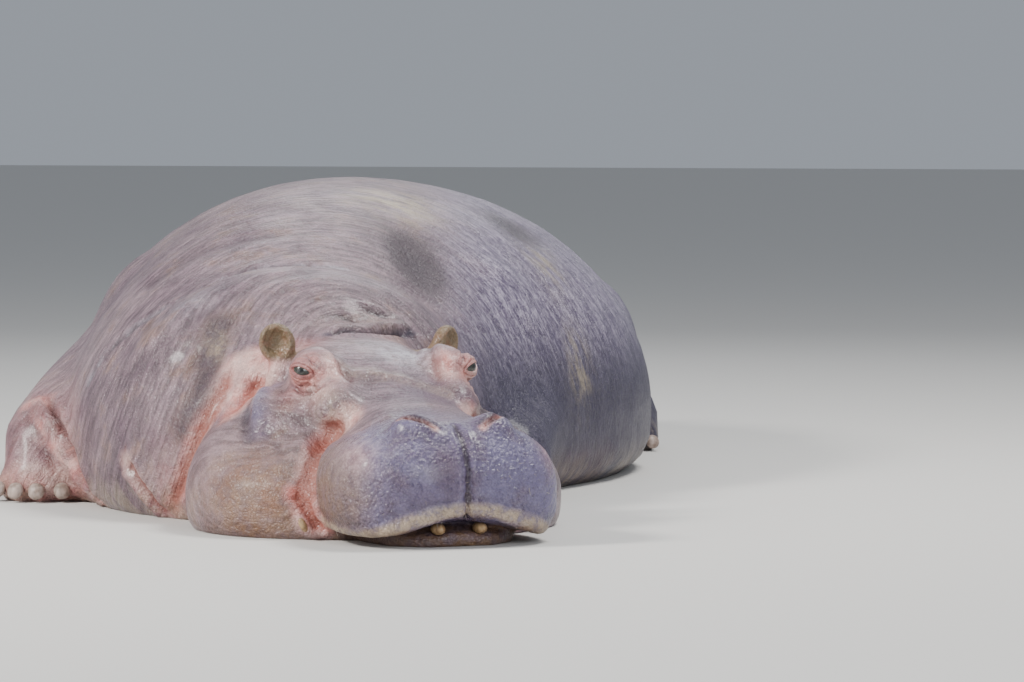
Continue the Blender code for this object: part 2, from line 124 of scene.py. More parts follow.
# %% Join copies of the flesh
SIDES = ("left", "right")
FLESH = ["head", "jaw", "neck", "trunk", "tail"]
PAIRED = ("ear", "foreleg", "forefoot", "hindleg", "hindfoot")
FLESH += [f"{part}_{side}" for part in PAIRED for side in SIDES]
EYES = ["eye_right", "eye_left"]
SKIN_VOXEL = 0.0055


def copy_of(name, nodes):
    """One mesh object made of copies of CAD nodes, with their loose triangles merged."""
    bm = bmesh.new()
    for node in nodes:
        bm.from_mesh(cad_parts[node].data)
    bmesh.ops.remove_doubles(bm, verts=bm.verts, dist=0.00002)
    mesh = bpy.data.meshes.new(name)
    bm.to_mesh(mesh)
    bm.free()
    return in_scene(name, mesh)


def settled(obj):
    """Turns what the modifiers show into the object's own plain mesh and removes the modifiers."""
    shown = obj.evaluated_get(bpy.context.evaluated_depsgraph_get())
    mesh = bpy.data.meshes.new_from_object(shown)
    obj.modifiers.clear()
    old = obj.data
    obj.data = mesh
    bpy.data.meshes.remove(old)
    mesh.name = obj.name
    return obj


skin = copy_of("skin", FLESH + EYES)
closing = skin.modifiers.new("close", "REMESH")
closing.mode = "VOXEL"
closing.voxel_size = SKIN_VOXEL
settled(skin)
print("skin squares:", len(skin.data.polygons))

# %% [markdown]
# ## Points as arrays
# A sculptor pushes clay with a thumb. A script does the same with numbers: it takes all the points of the
# mesh as one array, works out how far each of them moves, and puts them back. A few soft shapes of a
# number, such as a smooth rise and a smooth hump, are enough for everything that follows.

# %% Numbers for the sculpting
def places_of(mesh):
    """The vertices of a mesh as an array."""
    flat = np.empty(len(mesh.vertices) * 3)
    mesh.vertices.foreach_get("co", flat)
    return flat.reshape(-1, 3)


def normals_of(mesh):
    """The vertex normals of a mesh as an array."""
    flat = np.empty(len(mesh.vertices) * 3)
    mesh.vertex_normals.foreach_get("vector", flat)
    return flat.reshape(-1, 3)


def set_places(mesh, points):
    """Puts the vertices of a mesh where an array says, none below the floor."""
    points[:, 2] = np.maximum(points[:, 2], 0.0)
    mesh.vertices.foreach_set("co", points.ravel())
    mesh.update()


def ease(low, high, value):
    """Zero below low, one above high, and a smooth rise between them."""
    t = np.clip((value - low) / (high - low), 0.0, 1.0)
    return t * t * (3.0 - 2.0 * t)


def hump(value, top, width):
    """One where a value is at the top of the hump, and fading to nothing on both sides of it."""
    return np.exp(-(((value - top) / width) ** 2))


def near(points, centre, radii):
    """One at a centre and fading to nothing over the given radii."""
    away = (points - np.array(centre)) / np.array(radii)
    return np.exp(-np.sum(away * away, axis=1))


def gap_to(places, left, ahead, up):
    """How far each place is from one place of the head."""
    return np.linalg.norm(places - [left, ahead, up], axis=1)


print("points of the skin:", len(places_of(skin.data)))

# %% [markdown]
# ## Take the facets out
# The Smooth modifier takes the solids' facets out. It is held back by a vertex group where the shape is
# small, because ears, lips and toes would shrink under the smoothing that a back needs. What lay on the
# floor is put back on it afterwards, because the weight of the animal presses it flat.

# %% Smooth the facets out
SMOOTH_ROUNDS = 130
GROUP_STEPS = 64                     # a vertex group is filled in this many steps of weight
HEAD_STIFFNESS = 0.88
EAR_STIFFNESS = 0.97
EAR_PLACE = (0.187, 0.0, 0.40)
FOOT_HEIGHT = 0.10
FOOT_LOOSENESS = 0.25
RESTS_BELOW = 0.004                  # a point lower than this lies on the floor


def set_group(obj, name, weights):
    """Stores one weight for each vertex as a vertex group."""
    group = obj.vertex_groups.new(name=name)
    steps = np.round(np.clip(weights, 0.0, 1.0) * GROUP_STEPS).astype(int)
    for step in np.unique(steps):
        group.add(np.flatnonzero(steps == step).tolist(), step / GROUP_STEPS, "REPLACE")


def smoothed(obj, group, rounds):
    """Smooths the points of a vertex group, as much as their weights say."""
    smoothing = obj.modifiers.new("smooth", "SMOOTH")
    smoothing.factor = 0.5
    smoothing.iterations = rounds
    smoothing.vertex_group = group
    settled(obj)


points = places_of(skin.data)
places = head_places(points)
on_head = ease(-0.16, 0.02, places[:, 1]) * ease(0.46, 0.36, np.abs(places[:, 0]))
looseness = 1.0 - HEAD_STIFFNESS * on_head
for s in BOTH_SIDES:
    from_ear = gap_to(places, s * EAR_PLACE[0], *EAR_PLACE[1:])
    looseness = np.minimum(looseness, 1.0 - EAR_STIFFNESS * ease(0.10, 0.07, from_ear))
low_down = points[:, 2] < FOOT_HEIGHT
looseness = np.where(low_down, np.minimum(looseness, FOOT_LOOSENESS), looseness)
set_group(skin, "looseness", looseness)
smoothed(skin, "looseness", SMOOTH_ROUNDS)
points = places_of(skin.data)
points[points[:, 2] < RESTS_BELOW, 2] = 0.0
set_places(skin.data, points)
print("skin from", points.min(0).round(3), "to", points.max(0).round(3))

# %% [markdown]
# ## Finer squares where the face needs them
# Lids, nostrils, ears and lips need smaller squares than a back does. Only the faces near those places
# are subdivided, and a few rounds of smoothing bend the new points into the curve of the skin around
# them.

# %% Subdivide near the face's small features
def mirrored(*rows):
    """The same rows for both sides of the head. A row starts with how far to the side it is."""
    return [(s * row[0], *row[1:]) for row in rows for s in BOTH_SIDES]


# Balls in which the squares are split: left, ahead, up and reach.
MUZZLE_FRONT = [(0.0, 0.600, 0.160, 0.120), (0.0, 0.590, 0.045, 0.110)]
EYE_AND_NOSTRIL = mirrored((0.190, 0.160, 0.339, 0.085), (0.080, 0.580, 0.250, 0.065))
EAR_AND_MOUTH = mirrored((0.195, -0.005, 0.385, 0.065), (0.160, 0.560, 0.030, 0.090))
FINE_PLACES = MUZZLE_FRONT + EYE_AND_NOSTRIL + EAR_AND_MOUTH
FINER_PLACES = mirrored((0.190, 0.165, 0.339, 0.055), (0.082, 0.580, 0.258, 0.052))
FINEST_PLACES = mirrored((0.195, 0.168, 0.339, 0.040))
REFINING_ROUNDS = 3


def inside_any(points, balls):
    """Whether each point lies within one of the balls, given in the head's directions."""
    places = head_places(points)
    return np.any([gap_to(places, left, ahead, up) < reach for left, ahead, up, reach in balls], axis=0)


def refine(obj, balls):
    """Splits every square within the balls into four."""
    obj.vertex_groups.clear()
    chosen = inside_any(places_of(obj.data), balls)
    bm = bmesh.new()
    bm.from_mesh(obj.data)
    edges = [e for e in bm.edges if chosen[e.verts[0].index] and chosen[e.verts[1].index]]
    bmesh.ops.subdivide_edges(bm, edges=edges, cuts=1, use_grid_fill=True)
    bm.to_mesh(obj.data)
    bm.free()
    set_group(obj, "fine", inside_any(places_of(obj.data), balls) * 1.0)
    smoothed(obj, "fine", REFINING_ROUNDS)


for balls in (FINE_PLACES, FINER_PLACES, FINEST_PLACES):
    refine(skin, balls)
points = places_of(skin.data)
print("skin points after refining:", len(points))

# %% [markdown]
# ## Lines over the skin
# Every fold, crease and wrinkle follows a line over the skin through a few stops. A spline joins the
# stops, and each of its points is moved to the nearest point of the skin. The distance from such a line
# is then worked out for all points of the skin that are near enough.

# %% Lines over the skin
depths = np.zeros(len(points))       # how far each point has been moved out of the skin, in all
finder = KDTree(len(points))
for index, place in enumerate(points):
    finder.insert(place, index)
finder.balance()


def trail(stops, steps=36):
    """A smooth line over the skin through stops given in the head's directions."""
    stops = [np.array(in_head(*stop)) for stop in stops]
    stops = [2 * stops[0] - stops[1], *stops, 2 * stops[-1] - stops[-2]]
    line = []
    spans = len(stops) - 3
    for step in range(steps + 1):
        at = min(step * spans / steps, spans - 1e-6)
        i, t = int(at), at % 1
        a, b, c, d = stops[i : i + 4]
        bend = (2 * a - 5 * b + 4 * c - d) * t * t + (3 * b - a - 3 * c + d) * t * t * t
        line.append(finder.find(b + 0.5 * ((c - a) * t + bend))[0])
    return np.array(line)


def away_from(line, reach, over=None):
    """For each point: its distance from a line, at most reach, and how far along the line it is."""
    over = points if over is None else over
    distance = np.full(len(over), reach)
    along = np.zeros(len(over))
    within = (over > line.min(0) - reach) & (over < line.max(0) + reach)
    close = np.flatnonzero(np.all(within, axis=1))
    some = over[close]
    best, where = np.full(len(close), reach), np.zeros(len(close))
    for i, (start, end) in enumerate(zip(line, line[1:])):
        span = end - start
        t = np.clip((some - start) @ span / max(span @ span, 1e-12), 0, 1)
        gap = np.linalg.norm(some - start - t[:, None] * span, axis=1)
        better = gap < best
        best[better] = gap[better]
        where[better] = (i + t[better]) / (len(line) - 1)
    distance[close], along[close] = best, where
    return distance, along


def on_side(s, stops):
    """The same line on one side of the head."""
    return [(s * left, ahead, up) for left, ahead, up in stops]


print("points to lay lines over:", len(points))

# %% [markdown]
# ## Working the skin
# A fold is a groove with a soft swelling along both its sides, and wrinkles are many fine grooves side by
# side. The points of the skin near the line move in or out along their own normals. Slow noise bends the
# grooves and breaks them off, because skin never folds as straight as a ruler. It is real mesh, and not
# only bump, so that the folds also cast shadows and break the outline.

# %% Folds and wrinkles
OCTAVES = 2
WAVES_IN_OCTAVE = 7


def waves(where, scale, seed):
    """Smooth random noise of about plus or minus one, made of waves that cross in many directions."""
    random = np.random.default_rng(seed)
    total = np.zeros(len(where))
    for octave in range(OCTAVES):
        for _ in range(WAVES_IN_OCTAVE):
            direction = random.normal(size=3)
            direction *= 2 * math.pi * 2**octave / scale / np.linalg.norm(direction)
            total += np.sin(where @ direction + random.uniform(0, 6.28)) / 2**octave / 2.6
    return total


def fading(along, fade):
    """One in the middle of a line, and nothing at both its ends."""
    return ease(0, fade, along) * ease(1, 1 - fade, along)


def fold(stops, width, depth, lips, fade=0.15):
    """The heights of one crease, with lips as high as a share of its depth. A negative depth is a ridge."""
    reach = width * 5
    distance, along = away_from(trail(stops), reach)
    distance = distance * (1 + 0.12 * waves(points, width * 14, 5))
    groove = -hump(distance, 0, width) + lips * hump(distance, 2 * width, width)
    return depth * groove * fading(along, fade) * (distance < reach * 0.999)


def ribs(stops, spacing, height, reach, seed, fade=0.15, start=0.0):
    """The heights of many fine wrinkles that run alongside a line, out to a reach on both its sides."""
    distance, along = away_from(trail(stops), reach)
    warped = distance + spacing * 0.55 * waves(points, spacing * 7, seed)
    strength = ease(start, start + 0.15 * reach, distance) * ease(reach, reach * 0.45, distance)
    broken = ease(-1.1, 0.5, waves(points, spacing * 6, seed + 1))
    wrinkles = height * np.abs(np.sin(math.pi * warped / spacing)) ** 0.7
    return wrinkles * strength * fading(along, fade) * broken


def push(heights):
    """Moves every point of the skin out along its normal by its height, and keeps count of the heights."""
    global points, depths
    depths = depths + heights
    points = points + normals_of(skin.data) * heights[:, None]
    set_places(skin.data, points)
    points = places_of(skin.data)


print("waves at three points of the skin:", waves(points[:3], 0.1, 5).round(2))

# %% [markdown]
# ## Lids over the eyes
# Each eye sits deep in a mound, and only a slit between two thick lids shows it. The skin closes over the
# eyeball first. Around the eyeball's middle every point of skin then has a direction, so the lids are
# made by setting its distance from that middle: behind the eyeball's front in the slit, just over it at
# the lids' edges, and back to the old shape further out, with creases above and a bag below.

# %% Lids
EYE_RADIUS = 0.0265
EYE_LOOKS = (0.62, 0.78, 0.10)       # out of the head, ahead and up
LID_REACH = 0.065
LID_THICKNESS = 0.0042
# Angles are in radians, seen from the middle of the eyeball.
SLIT_HALF_WIDTH = 0.86
SLIT_UP, SLIT_DOWN = 0.26, 0.32
SLIT_SLANT = 0.10
SLIT_FLOOR = 0.84                    # as a share of the eyeball's radius
LID_EDGE = 0.05
OLD_SHAPE_FROM, OLD_SHAPE_AT = 0.20, 0.85
# How far from the slit, how wide, and how deep above and below the eye.
LID_CREASES = ((0.26, 0.06, 0.0020, 0.0), (0.34, 0.07, 0.0, 0.0022), (0.70, 0.08, 0.0006, 0.0012))
EYE_BAGS = ((0.42, 0.13, 0.0010, 0.0026),)


def eye_axes(s):
    """The eye's middle, the direction that it looks, and the directions along and across its slit."""
    out, ahead, up = EYE_LOOKS
    looks = TO_LEFT * out * s + AHEAD * ahead + UP * up
    looks.normalize()
    forward = (AHEAD - looks * AHEAD.dot(looks)).normalized()
    lift = looks.cross(forward) if looks.cross(forward).z > 0 else forward.cross(looks)
    middle = left_eye if s == LEFT else right_eye
    return (np.array(v) for v in (middle, looks, forward, lift))


def round_the_slit(rows, outside, above):
    """The sum of a few humps that run round the slit, each with its own height above and below the eye."""
    return sum(np.where(above, high, low) * hump(outside, gap, width) for gap, width, high, low in rows)


def close_lids(points, s):
    """Sets the skin around one eyeball to make the slit, the lids, the creases and the bag."""
    middle, looks, forward, lift = eye_axes(s)
    offset = points - middle
    distance = np.linalg.norm(offset, axis=1)
    near_eye = np.flatnonzero((distance < LID_REACH) & (offset @ looks > 0.0))
    old = distance[near_eye]
    unit = offset[near_eye] / old[:, None]
    along = np.arctan2(unit @ forward, unit @ looks)
    across = np.arcsin(np.clip(unit @ lift, -1, 1)) + SLIT_SLANT * along
    bow = np.clip(1 - np.abs(along / SLIT_HALF_WIDTH) ** 2.6, -1, 1)
    outside = np.maximum(across - SLIT_UP * bow, -across - SLIT_DOWN * bow)
    outside = np.maximum(outside, 1.6 * (np.abs(along) - SLIT_HALF_WIDTH))
    crease = round_the_slit(LID_CREASES, outside, across > 0)
    bag = round_the_slit(EYE_BAGS, outside, across > 0)
    lid = EYE_RADIUS + LID_THICKNESS
    spread = ease(OLD_SHAPE_FROM, OLD_SHAPE_AT, outside)
    new = lid + (np.maximum(old, lid) - lid) * spread + bag - crease
    sunk = EYE_RADIUS * SLIT_FLOOR
    new = sunk + (new - sunk) * ease(-LID_EDGE, LID_EDGE, outside)
    points[near_eye] = middle + unit * new[:, None]
    # The lid creases count extra towards the painted shade in the grooves.
    depths[near_eye] -= 1.8 * crease
    return points


points = close_lids(close_lids(points, RIGHT), LEFT)
set_places(skin.data, points)
points = places_of(skin.data)
print("lids", round(LID_THICKNESS * 1000, 1), "mm thick")

# %% [markdown]
# ## Nostrils
# The nostrils are slits on two mounds at the front of the muzzle, each with a raised ring that is highest
# behind the slit. The hippopotamus closes them under water. Here they are ajar, and the left one less
# than the right. One line along the slit gives the hole, the ring and the dip around it, all from the
# distance to that line.

# %% Nostrils
NOSTRIL = [(0.112, 0.552, 0.262), (0.086, 0.582, 0.266), (0.052, 0.600, 0.246)]
NOSTRIL_ROOF = [(0.118, 0.540, 0.266), (0.088, 0.568, 0.272), (0.050, 0.590, 0.254)]
NOSTRIL_REACH = 0.08
NOSTRIL_DEPTH = 0.020
NOSTRIL_AHEAD = 0.580                # the ring is raised behind this
AJAR = {RIGHT: 1.0, LEFT: 0.55}
RING_HEIGHT, RING_HEIGHT_BEHIND = 0.0006, 0.0026
DIP_DEPTH = 0.0022
for s in BOTH_SIDES:
    distance, along = away_from(trail(on_side(s, NOSTRIL)), NOSTRIL_REACH)
    taper = np.sin(math.pi * np.clip(along, 0.03, 0.97)) ** 0.5
    behind = ease(0.010, -0.020, head_places(points)[:, 1] - NOSTRIL_AHEAD)
    rim = (RING_HEIGHT + RING_HEIGHT_BEHIND * behind) * hump(distance, 0.016, 0.010)
    dip = -DIP_DEPTH * hump(distance, 0.040, 0.012)
    hole = -NOSTRIL_DEPTH * taper * ease(0.0125, 0.001, distance / np.maximum(taper, 0.35))
    push((rim + dip + hole) * AJAR[s] * (distance < NOSTRIL_REACH - 0.001))
print("nostrils", round(float(-hole.min() * 1000)), "mm deep")

# %% [markdown]
# ## Lips and cheeks
# The upper lip hangs in a thick rim, and a groove runs down the middle of the muzzle. A deep crease parts
# the muzzle from the cheek, because the muzzle holds the roots of the tusks and the cheek only muscle.
# All of them are folds along lines. The rim of the lip is a ridge along one line from corner to corner.

# %% Muzzle, lips and cheeks
MUZZLE_GROOVE = [(0, 0.560, 0.25), (0, 0.610, 0.235), (0, 0.640, 0.200)]
MUZZLE_GROOVE += [(0, 0.655, 0.14), (0, 0.648, 0.07), (0, 0.620, 0.055)]
CHEEK_CREASE = [(0.130, 0.300, 0.245), (0.172, 0.268, 0.205), (0.218, 0.313, 0.150)]
CHEEK_CREASE += [(0.246, 0.348, 0.095), (0.250, 0.362, 0.045)]
MOUTH_CORNER = [(0.236, 0.400, 0.020), (0.240, 0.368, 0.040), (0.246, 0.340, 0.075), (0.255, 0.310, 0.085)]
CHEEK_ARC = [(0.275, 0.120, 0.228), (0.270, 0.190, 0.205), (0.262, 0.262, 0.165), (0.252, 0.318, 0.123)]
HALF_LIP = [(0.236, 0.400, 0.020), (0.215, 0.520, 0.020), (0.170, 0.610, 0.034)]
HALF_LIP += [(0.112, 0.640, 0.055), (0.05, 0.650, 0.068)]
LIP_EDGE = on_side(RIGHT, HALF_LIP) + [(0, 0.652, 0.070)] + HALF_LIP[::-1]
LIP_ROLL, LIP_GROOVE = 0.0045, 0.0025
push(fold(MUZZLE_GROOVE, width=0.0075, depth=0.0065, lips=0.5, fade=0.06))
for s in BOTH_SIDES:
    push(fold(on_side(s, CHEEK_CREASE), width=0.024, depth=0.0125, lips=0.45))
    push(fold(on_side(s, MOUTH_CORNER), width=0.010, depth=0.010, lips=0.5, fade=0.2))
    push(fold(on_side(s, CHEEK_ARC), width=0.009, depth=0.0028, lips=0.6, fade=0.3))
from_lip = away_from(trail(LIP_EDGE, 80), 0.12)[0]
push(LIP_ROLL * hump(from_lip, 0, 0.013) - LIP_GROOVE * hump(from_lip, 0.030, 0.010))
print("face creases down to", depths.min().round(4))

# %% [markdown]
# ## Forehead, eyes and poll
# Above each eye lies a crease, and below it a lower lid and a bag. The poll, the back of the head, has
# one deep groove with a roll of skin behind it, because the head lies low and pushes the nape together. A
# lobe of the cheek swells behind the right eye, and hardly at all behind the left one.

# %% Lines of the forehead, the eyes and the poll
POLL_GROOVE = [(-0.045, -0.085, 0.400), (0.003, -0.085, 0.404), (0.060, -0.090, 0.401)]
POLL_GROOVE += [(0.117, -0.131, 0.397), (0.185, -0.172, 0.394)]
POLL_ROLL = [(-0.060, -0.115, 0.410), (0.010, -0.120, 0.418), (0.080, -0.130, 0.415)]
POLL_ROLL += [(0.140, -0.165, 0.405), (0.195, -0.200, 0.400)]
POLL_CREASE = [(0.000, -0.172, 0.446), (0.032, -0.160, 0.432), (0.058, -0.150, 0.422)]
HIGH_POLL_CREASE = [(0.040, -0.195, 0.457), (0.101, -0.182, 0.443), (0.158, -0.177, 0.421)]
BROW_RIDGE = [(-0.100, 0.165, 0.338), (-0.040, 0.195, 0.334), (0.030, 0.230, 0.320), (0.088, 0.272, 0.295)]
EAR_FOLD = [(0.216, -0.009, 0.345), (0.216, -0.070, 0.306), (0.246, -0.060, 0.265), (0.277, -0.012, 0.245)]
TEMPLE_FOLD = [(0.150, 0.030, 0.385), (0.118, 0.110, 0.388), (0.100, 0.185, 0.352), (0.098, 0.240, 0.310)]
LOBE_EDGE = [(0.235, 0.010, 0.300), (0.268, 0.060, 0.255), (0.290, 0.110, 0.215), (0.296, 0.150, 0.180)]
CHEEK_LOBE = [(0.228, 0.030, 0.312), (0.250, 0.068, 0.280), (0.268, 0.115, 0.245), (0.280, 0.160, 0.212)]
UPPER_LID = [(0.195, 0.105, 0.350), (0.187, 0.130, 0.366), (0.176, 0.168, 0.363), (0.160, 0.198, 0.346)]
LOWER_LID = [(0.200, 0.135, 0.326), (0.191, 0.160, 0.314), (0.178, 0.188, 0.313), (0.160, 0.205, 0.326)]
EYE_BAG = [(0.200, 0.122, 0.308), (0.190, 0.160, 0.294), (0.178, 0.201, 0.297), (0.160, 0.226, 0.312)]
print("the poll's groove has", len(POLL_GROOVE), "stops")

# %% [markdown]
# ## The folds along those lines
# The face is the same on both sides, apart from the cheek, so most folds are made in a loop over the sides.
# All heights are added up first and pushed out once, so that no fold disturbs the next one.

# %% Folds of the forehead, the eyes and the poll
# Line, width, depth, height of the lips as a share of the depth, and the share of the line that fades out.
ON_BOTH_SIDES = (
    (UPPER_LID, 0.0044, 0.0026, 0.5, 0.3),
    (LOWER_LID, 0.0034, 0.0024, 0.7, 0.25),
    (EYE_BAG, 0.0048, 0.0050, 0.6, 0.25),
    (TEMPLE_FOLD, 0.010, 0.0045, 0.5, 0.15),
    (EAR_FOLD, 0.011, 0.0065, 0.5, 0.15),
)
IN_THE_MIDDLE = (
    (POLL_GROOVE, 0.0095, 0.0160, 0.4, 0.2),
    (POLL_ROLL, 0.020, -0.0115, 0.2, 0.25),
    (POLL_CREASE, 0.0075, 0.0052, 0.6, 0.4),
    (HIGH_POLL_CREASE, 0.0085, 0.0048, 0.6, 0.4),
    (BROW_RIDGE, 0.013, -0.0040, 0.3, 0.2),
)
LOBE_HEIGHT = {RIGHT: 0.0110, LEFT: 0.001}
LEFT_CHEEK_HOLLOW = 0.032            # the solids' left cheek is as full as the right one
face = np.zeros(len(points))
for s in BOTH_SIDES:
    for stops, *shape in ON_BOTH_SIDES:
        face += fold(on_side(s, stops), *shape)
    face += fold(on_side(s, CHEEK_LOBE), width=0.019, depth=-LOBE_HEIGHT[s], lips=0.3)
face -= LEFT_CHEEK_HOLLOW * near(head_places(points), (0.265, 0.110, 0.258), (0.055, 0.085, 0.055))
for stops, *shape in IN_THE_MIDDLE:
    face += fold(stops, *shape)
push(face)
print("face folds from", face.min().round(4), "to", face.max().round(4))

# %% [markdown]
# ## Fine wrinkles of the face
# The hide is up to five centimetres thick and hangs loosely on the cheek, so it lies in many fine
# wrinkles that follow the large creases. One line with ribs on both its sides makes a whole field of
# them.

# %% Fine wrinkles of the face
CHEEK_LINE = [(0.240, 0.150, 0.250), (0.215, 0.200, 0.262), (0.160, 0.260, 0.262), (0.110, 0.300, 0.275)]
UNDER_EYE = [(0.205, 0.190, 0.300), (0.170, 0.225, 0.300), (0.130, 0.240, 0.310)]
fine = np.zeros(len(points))
for s in BOTH_SIDES:
    fine += ribs(on_side(s, CHEEK_CREASE), spacing=0.015, height=-0.0020, reach=0.15, seed=11, start=0.022)
    fine += ribs(on_side(s, CHEEK_LINE), spacing=0.011, height=-0.0014, reach=0.06, seed=13)
    fine += ribs(on_side(s, UNDER_EYE), spacing=0.011, height=-0.0007, reach=0.05, seed=15)
fine += ribs(BROW_RIDGE, spacing=0.010, height=-0.0014, reach=0.07, seed=17)
fine += ribs(POLL_GROOVE, spacing=0.012, height=-0.0013, reach=0.11, seed=19, start=0.02, fade=0.3)
push(fine)
print("fine wrinkles", np.round(fine.min() * 1000, 1), "mm deep")

# %% [markdown]
# ## Folds of the neck, the throat and the shoulder
# The neck folds in wide arcs behind the head, because the head is turned. The throat is squeezed into one
# deep crease with wrinkles beside it, and a broad hollow parts the left shoulder from the barrel of the
# trunk.

# %% Neck, throat and shoulder
NECK_ARC = [(-0.440, -0.600, 0.290), (-0.389, -0.562, 0.350), (-0.300, -0.490, 0.430)]
NECK_ARC += [(-0.218, -0.440, 0.486), (-0.094, -0.460, 0.528), (0.017, -0.439, 0.538), (0.107, -0.426, 0.530)]
SECOND_ARC = [(-0.420, -0.450, 0.240), (-0.330, -0.330, 0.350), (-0.226, -0.290, 0.440)]
SECOND_ARC += [(-0.099, -0.300, 0.490), (0.040, -0.300, 0.500)]
THIRD_ARC = [(-0.299, -0.686, 0.454), (-0.186, -0.670, 0.539)]
THIRD_ARC += [(-0.058, -0.624, 0.588), (0.067, -0.573, 0.600)]
THROAT = [(-0.225, -0.150, 0.330), (-0.290, -0.108, 0.264), (-0.334, -0.113, 0.178)]
THROAT += [(-0.357, -0.148, 0.090), (-0.358, -0.210, 0.010)]
STREAK = [(-0.230, -0.250, 0.410), (-0.271, -0.211, 0.366), (-0.300, -0.150, 0.290), (-0.330, -0.170, 0.200)]
SHOULDER_HOLLOW = (0.325, -0.515, 0.545)
HIP_HOLLOW = (0.740, -0.940, 0.600)
SHOULDER_DEPTH, HIP_DEPTH = 0.015, 0.008
body = fold(NECK_ARC, width=0.012, depth=0.0058, lips=0.6)
body += fold(SECOND_ARC, width=0.018, depth=0.0035, lips=0.6)
body += fold(THIRD_ARC, width=0.030, depth=0.0045, lips=0.5)
body += ribs(NECK_ARC, spacing=0.015, height=-0.0016, reach=0.15, seed=21)
body += ribs(SECOND_ARC, spacing=0.014, height=-0.0014, reach=0.13, seed=23)
body += fold(THROAT, width=0.015, depth=0.0085, lips=0.5)
body += ribs(THROAT, spacing=0.017, height=-0.0020, reach=0.15, seed=25)
body += ribs(STREAK, spacing=0.014, height=-0.0026, reach=0.05, seed=27)
places = head_places(points)
body -= SHOULDER_DEPTH * near(places, SHOULDER_HOLLOW, (0.060, 0.110, 0.100))
body -= HIP_DEPTH * near(places, HIP_HOLLOW, (0.110, 0.110, 0.070))
push(body)
print("body folds from", body.min().round(4), "to", body.max().round(4))

# %% [markdown]
# ## Folds of the foreleg
# The right foreleg comes out from under the body between two fleshy webs. Its wrist is bent, so a deep
# fold crosses it, and a fat ridge of skin runs down beside the fold.

# %% Wrist and webs
WRIST = [(-0.467, -0.830, 0.236), (-0.452, -0.760, 0.180), (-0.445, -0.700, 0.130)]
WRIST += [(-0.444, -0.600, 0.085), (-0.428, -0.550, 0.040), (-0.416, -0.530, 0.010)]
FLESHY_WEB = [(-0.482, -0.850, 0.215), (-0.470, -0.790, 0.178), (-0.460, -0.716, 0.117)]
FLESHY_WEB += [(-0.456, -0.630, 0.072), (-0.434, -0.594, 0.012)]
WEB = [(-0.426, -0.325, 0.120), (-0.399, -0.266, 0.060), (-0.367, -0.223, 0.004)]
limbs = fold(WRIST, width=0.011, depth=0.0170, lips=0.5, fade=0.08)
limbs += fold(WEB, width=0.014, depth=0.0110, lips=0.8, fade=0.1)
limbs += fold(FLESHY_WEB, width=0.016, depth=-0.0130, lips=0.35, fade=0.12)
limbs += ribs(WRIST, spacing=0.016, height=-0.0020, reach=0.10, seed=29, start=0.02)
push(limbs)
print("foreleg folds from", limbs.min().round(4), "to", limbs.max().round(4))

# %% [markdown]
# ## Fewer triangles where nothing happens
# The skin has many more squares than it needs on the back and the belly. The Decimate modifier removes
# them. A vertex group says how dear each part is, so that the face keeps small triangles and the rump
# gets large ones. Before that, the depth of every groove is stored on the points, so that the material
# can paint shade into the grooves.

# %% Thin the skin out
SKIN_TRIANGLES = 192000
FULL_GROOVE_SHADE = 0.007                  # a groove this deep is as dark as any
WORTH_OF_RUMP = 0.10
WORTH_OF_NECK = 0.34
WORTH_OF_HEAD = 0.44
WORTH_ON_FLOOR = 0.15


def store(mesh, name, values, kind="FLOAT"):
    """Stores a number or a vector for each point of a mesh."""
    made = mesh.attributes.new(name, kind, "POINT")
    field = "value" if kind == "FLOAT" else "vector"
    made.data.foreach_set(field, np.asarray(values, dtype=np.float32).ravel())


def shade_smooth(mesh):
    """Shows the faces of a mesh as one smooth surface."""
    mesh.polygons.foreach_set("use_smooth", [True] * len(mesh.polygons))


# The depth of each groove is kept for the painted shade in the grooves.
store(skin.data, "hollow", np.clip(-depths / FULL_GROOVE_SHADE, 0, 1))
side, ahead = np.abs(head_places(points)[:, 0]), head_places(points)[:, 1]
worth = WORTH_OF_RUMP + WORTH_OF_NECK * ease(-0.75, -0.10, ahead)
worth = worth + WORTH_OF_HEAD * ease(-0.12, 0.12, ahead) * ease(0.42, 0.30, side)
at_lids = inside_any(points, mirrored((0.195, 0.168, 0.339, 0.045)))
worth += 0.08 * inside_any(points, FINE_PLACES) + 0.04 * at_lids
worth *= np.where(points[:, 2] < 0.002, WORTH_ON_FLOOR, 1.0)
skin.vertex_groups.clear()
set_group(skin, "worth", 1 - worth)
skin.data.calc_loop_triangles()
thinning = skin.modifiers.new("thin", "DECIMATE")
thinning.ratio = SKIN_TRIANGLES / len(skin.data.loop_triangles)
thinning.use_collapse_triangulate = True
thinning.vertex_group = "worth"
thinning.vertex_group_factor = 1.0
thinning.invert_vertex_group = False
settled(skin)
skin.vertex_groups.clear()
shade_smooth(skin.data)
points = places_of(skin.data)
print("skin triangles:", len(skin.data.polygons))
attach(skin, "root")
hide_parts(*FLESH)

# %% [markdown]
# ## Where each colour of the hide goes
# The markings are stored on the skin's points as a few masks, each from nothing to one: pink skin in the
# creases and round the eyes, slate blue on the muzzle, cream crusts, painted sheen, painted shade, olive
# ears, dried mud and wet shine.
# The masks are soft and broad. The material breaks them up with its own noise, so that no edge looks
# painted.

# %% Lines and spots as masks
places = head_places(points)
left_of, ahead_of, up_of = places.T
side_of = np.abs(left_of)
across_body, along_body, height = points.T


def most(*masks):
    """The strongest of several masks at each point."""
    return np.max(masks, axis=0)


def line_mask(stops, width, strength=1.0, softness=1.0):
    """A mask along a line over the skin, with a half width and a soft edge."""
    distance = away_from(trail(stops, 24), width * (1 + softness) * 1.2)[0]
    return strength * ease(width * (1 + softness), width * 0.4, distance)


def strokes(*rows):
    """A mask of soft lines: the stops, the half width, the strength and the softness of the edge."""
    return most(*[line_mask(*row) for row in rows])


def two_strokes(stops, *rest):
    """The same soft line on both sides of the head."""
    return [(on_side(s, stops), *rest) for s in BOTH_SIDES]


